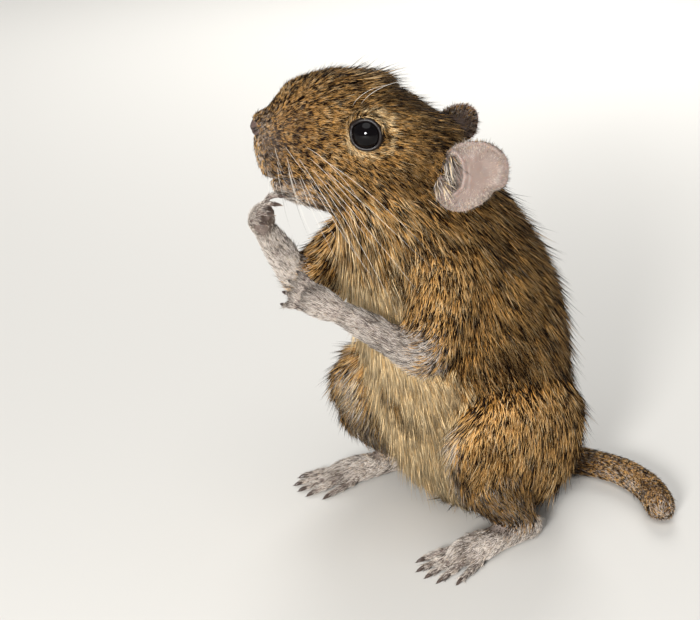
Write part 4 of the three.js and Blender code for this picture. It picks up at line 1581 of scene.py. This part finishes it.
def whisker(root, out, droop, length, radius):
    """A tapering hair that leaves the pad along out and bends towards droop."""
    buried = 1.2
    share = np.linspace(0, 1, 15)
    out, droop = unit(out), unit(droop)
    bend = share[:, None] * out * (1 - share[:, None] * 0.5) + share[:, None] ** 2 * droop * 0.62
    path = on_head(root - out * buried + length * bend)
    tangent = unit(np.gradient(path, axis=0))
    side = unit(np.cross(tangent, UP))
    over = np.cross(tangent, side)
    angle = np.arange(5) * 2 * math.pi / 5
    wide = radius * (1 - share) ** 0.8
    wide[0] = 0
    ring = np.cos(angle)[None, :, None] * side[:, None] + np.sin(angle)[None, :, None] * over[:, None]
    return closed_tube(path[:, None] + wide[:, None, None] * ring)


TARGET = (-0.022, 0, 0.06)  # what the camera and the lights look at, in metres
CAMERA_AZIMUTH = math.radians(-35)
CAMERA_ELEVATION = math.radians(20)
CAMERA_DISTANCE = 0.45
CAMERA_SHIFT = (-60 / 700, -8 / 700)  # pixels of the photo, of its 700 across


class DEGU_OT_stage(bpy.types.Operator):
    """Adds the pale floor, the soft lights and the camera"""

    bl_idname = "degu.stage"
    bl_label = "Stage"

    def execute(self, context):
        scene = context.scene
        bpy.ops.object.select_all(action="DESELECT")
        bpy.ops.mesh.primitive_plane_add(size=6, location=(0, 0, 0))
        floor = context.object
        floor.name = "floor"
        material, _, bsdf = new_material("pale_floor", Roughness=0.9)
        bsdf.inputs["Base Color"].default_value = scene.degu.floor_colour
        floor.data.materials.append(material)
        world = bpy.data.worlds.new("studio")
        world.use_nodes = True
        background = world.node_tree.nodes["Background"]
        background.inputs["Color"].default_value = colour("#eceef0")
        background.inputs["Strength"].default_value = 0.32
        scene.world = world
        camera = bpy.data.cameras.new("camera")
        camera.lens = scene.degu.lens
        camera.clip_start = 0.01
        camera.shift_x, camera.shift_y = CAMERA_SHIFT
        level = math.cos(CAMERA_ELEVATION)
        away = Vector((math.sin(CAMERA_AZIMUTH) * level, -math.cos(CAMERA_AZIMUTH) * level, 0))
        away.z = math.sin(CAMERA_ELEVATION)
        scene.camera = aimed("camera", camera, Vector(TARGET) + away * CAMERA_DISTANCE, away)
        add_disk("key", (-0.62, -0.5, 0.27), 0.16, 9.2)
        add_disk("rim", (0.5, 0.55, 0.45), 0.4, 4)
        sun = bpy.data.lights.new("sky", "SUN")
        sun.energy = 1.15
        sun.angle = math.radians(50)
        aimed("sky", sun, (0, 0, 0), Vector((-0.35, -0.25, 1)))
        scene.view_settings.view_transform = "Standard"
        return {"FINISHED"}


def aimed(name, data, place, away):
    """A camera or light at its place, looking the other way than away."""
    holder = bpy.data.objects.new(name, data)
    bpy.context.collection.objects.link(holder)
    holder.location = place
    holder.rotation_euler = away.to_track_quat("Z", "Y").to_euler()
    return holder


def add_disk(name, place, size, power):
    """A round soft light, in metres and watts, that shines at the animal."""
    light = bpy.data.lights.new(name, "AREA")
    light.shape = "DISK"
    light.size = size
    light.energy = power
    aimed(name, light, place, Vector(place) - Vector(TARGET))


OPERATORS = (
    DEGU_OT_skin, DEGU_OT_coat, DEGU_OT_eyes, DEGU_OT_ears, DEGU_OT_nose, DEGU_OT_claws, DEGU_OT_whiskers,
    DEGU_OT_stage,
)


class DEGU_PT_panel(bpy.types.Panel):
    """Lists the settings and the steps that build the degu"""

    bl_idname = "DEGU_PT_panel"
    bl_label = "Degu"
    bl_space_type = "VIEW_3D"
    bl_region_type = "UI"
    bl_category = "Degu"

    def draw(self, context):
        for key in DeguSettings.__annotations__:
            self.layout.prop(context.scene.degu, key)
        for operator in OPERATORS:
            self.layout.operator(operator.bl_idname)


CLASSES = (DeguSettings, *OPERATORS, DEGU_PT_panel)


def register():
    for item in CLASSES:
        bpy.utils.register_class(item)
    bpy.types.Scene.degu = bpy.props.PointerProperty(type=DeguSettings)


def unregister():
    del bpy.types.Scene.degu
    for item in reversed(CLASSES):
        bpy.utils.unregister_class(item)


def main():
    register()
    bpy.ops.degu.skin()
    bpy.ops.degu.coat()
    bpy.ops.degu.eyes()
    bpy.ops.degu.ears()
    bpy.ops.degu.nose()
    bpy.ops.degu.claws()
    bpy.ops.degu.whiskers()
    bpy.ops.degu.stage()


if __name__ == "__main__":
    main()
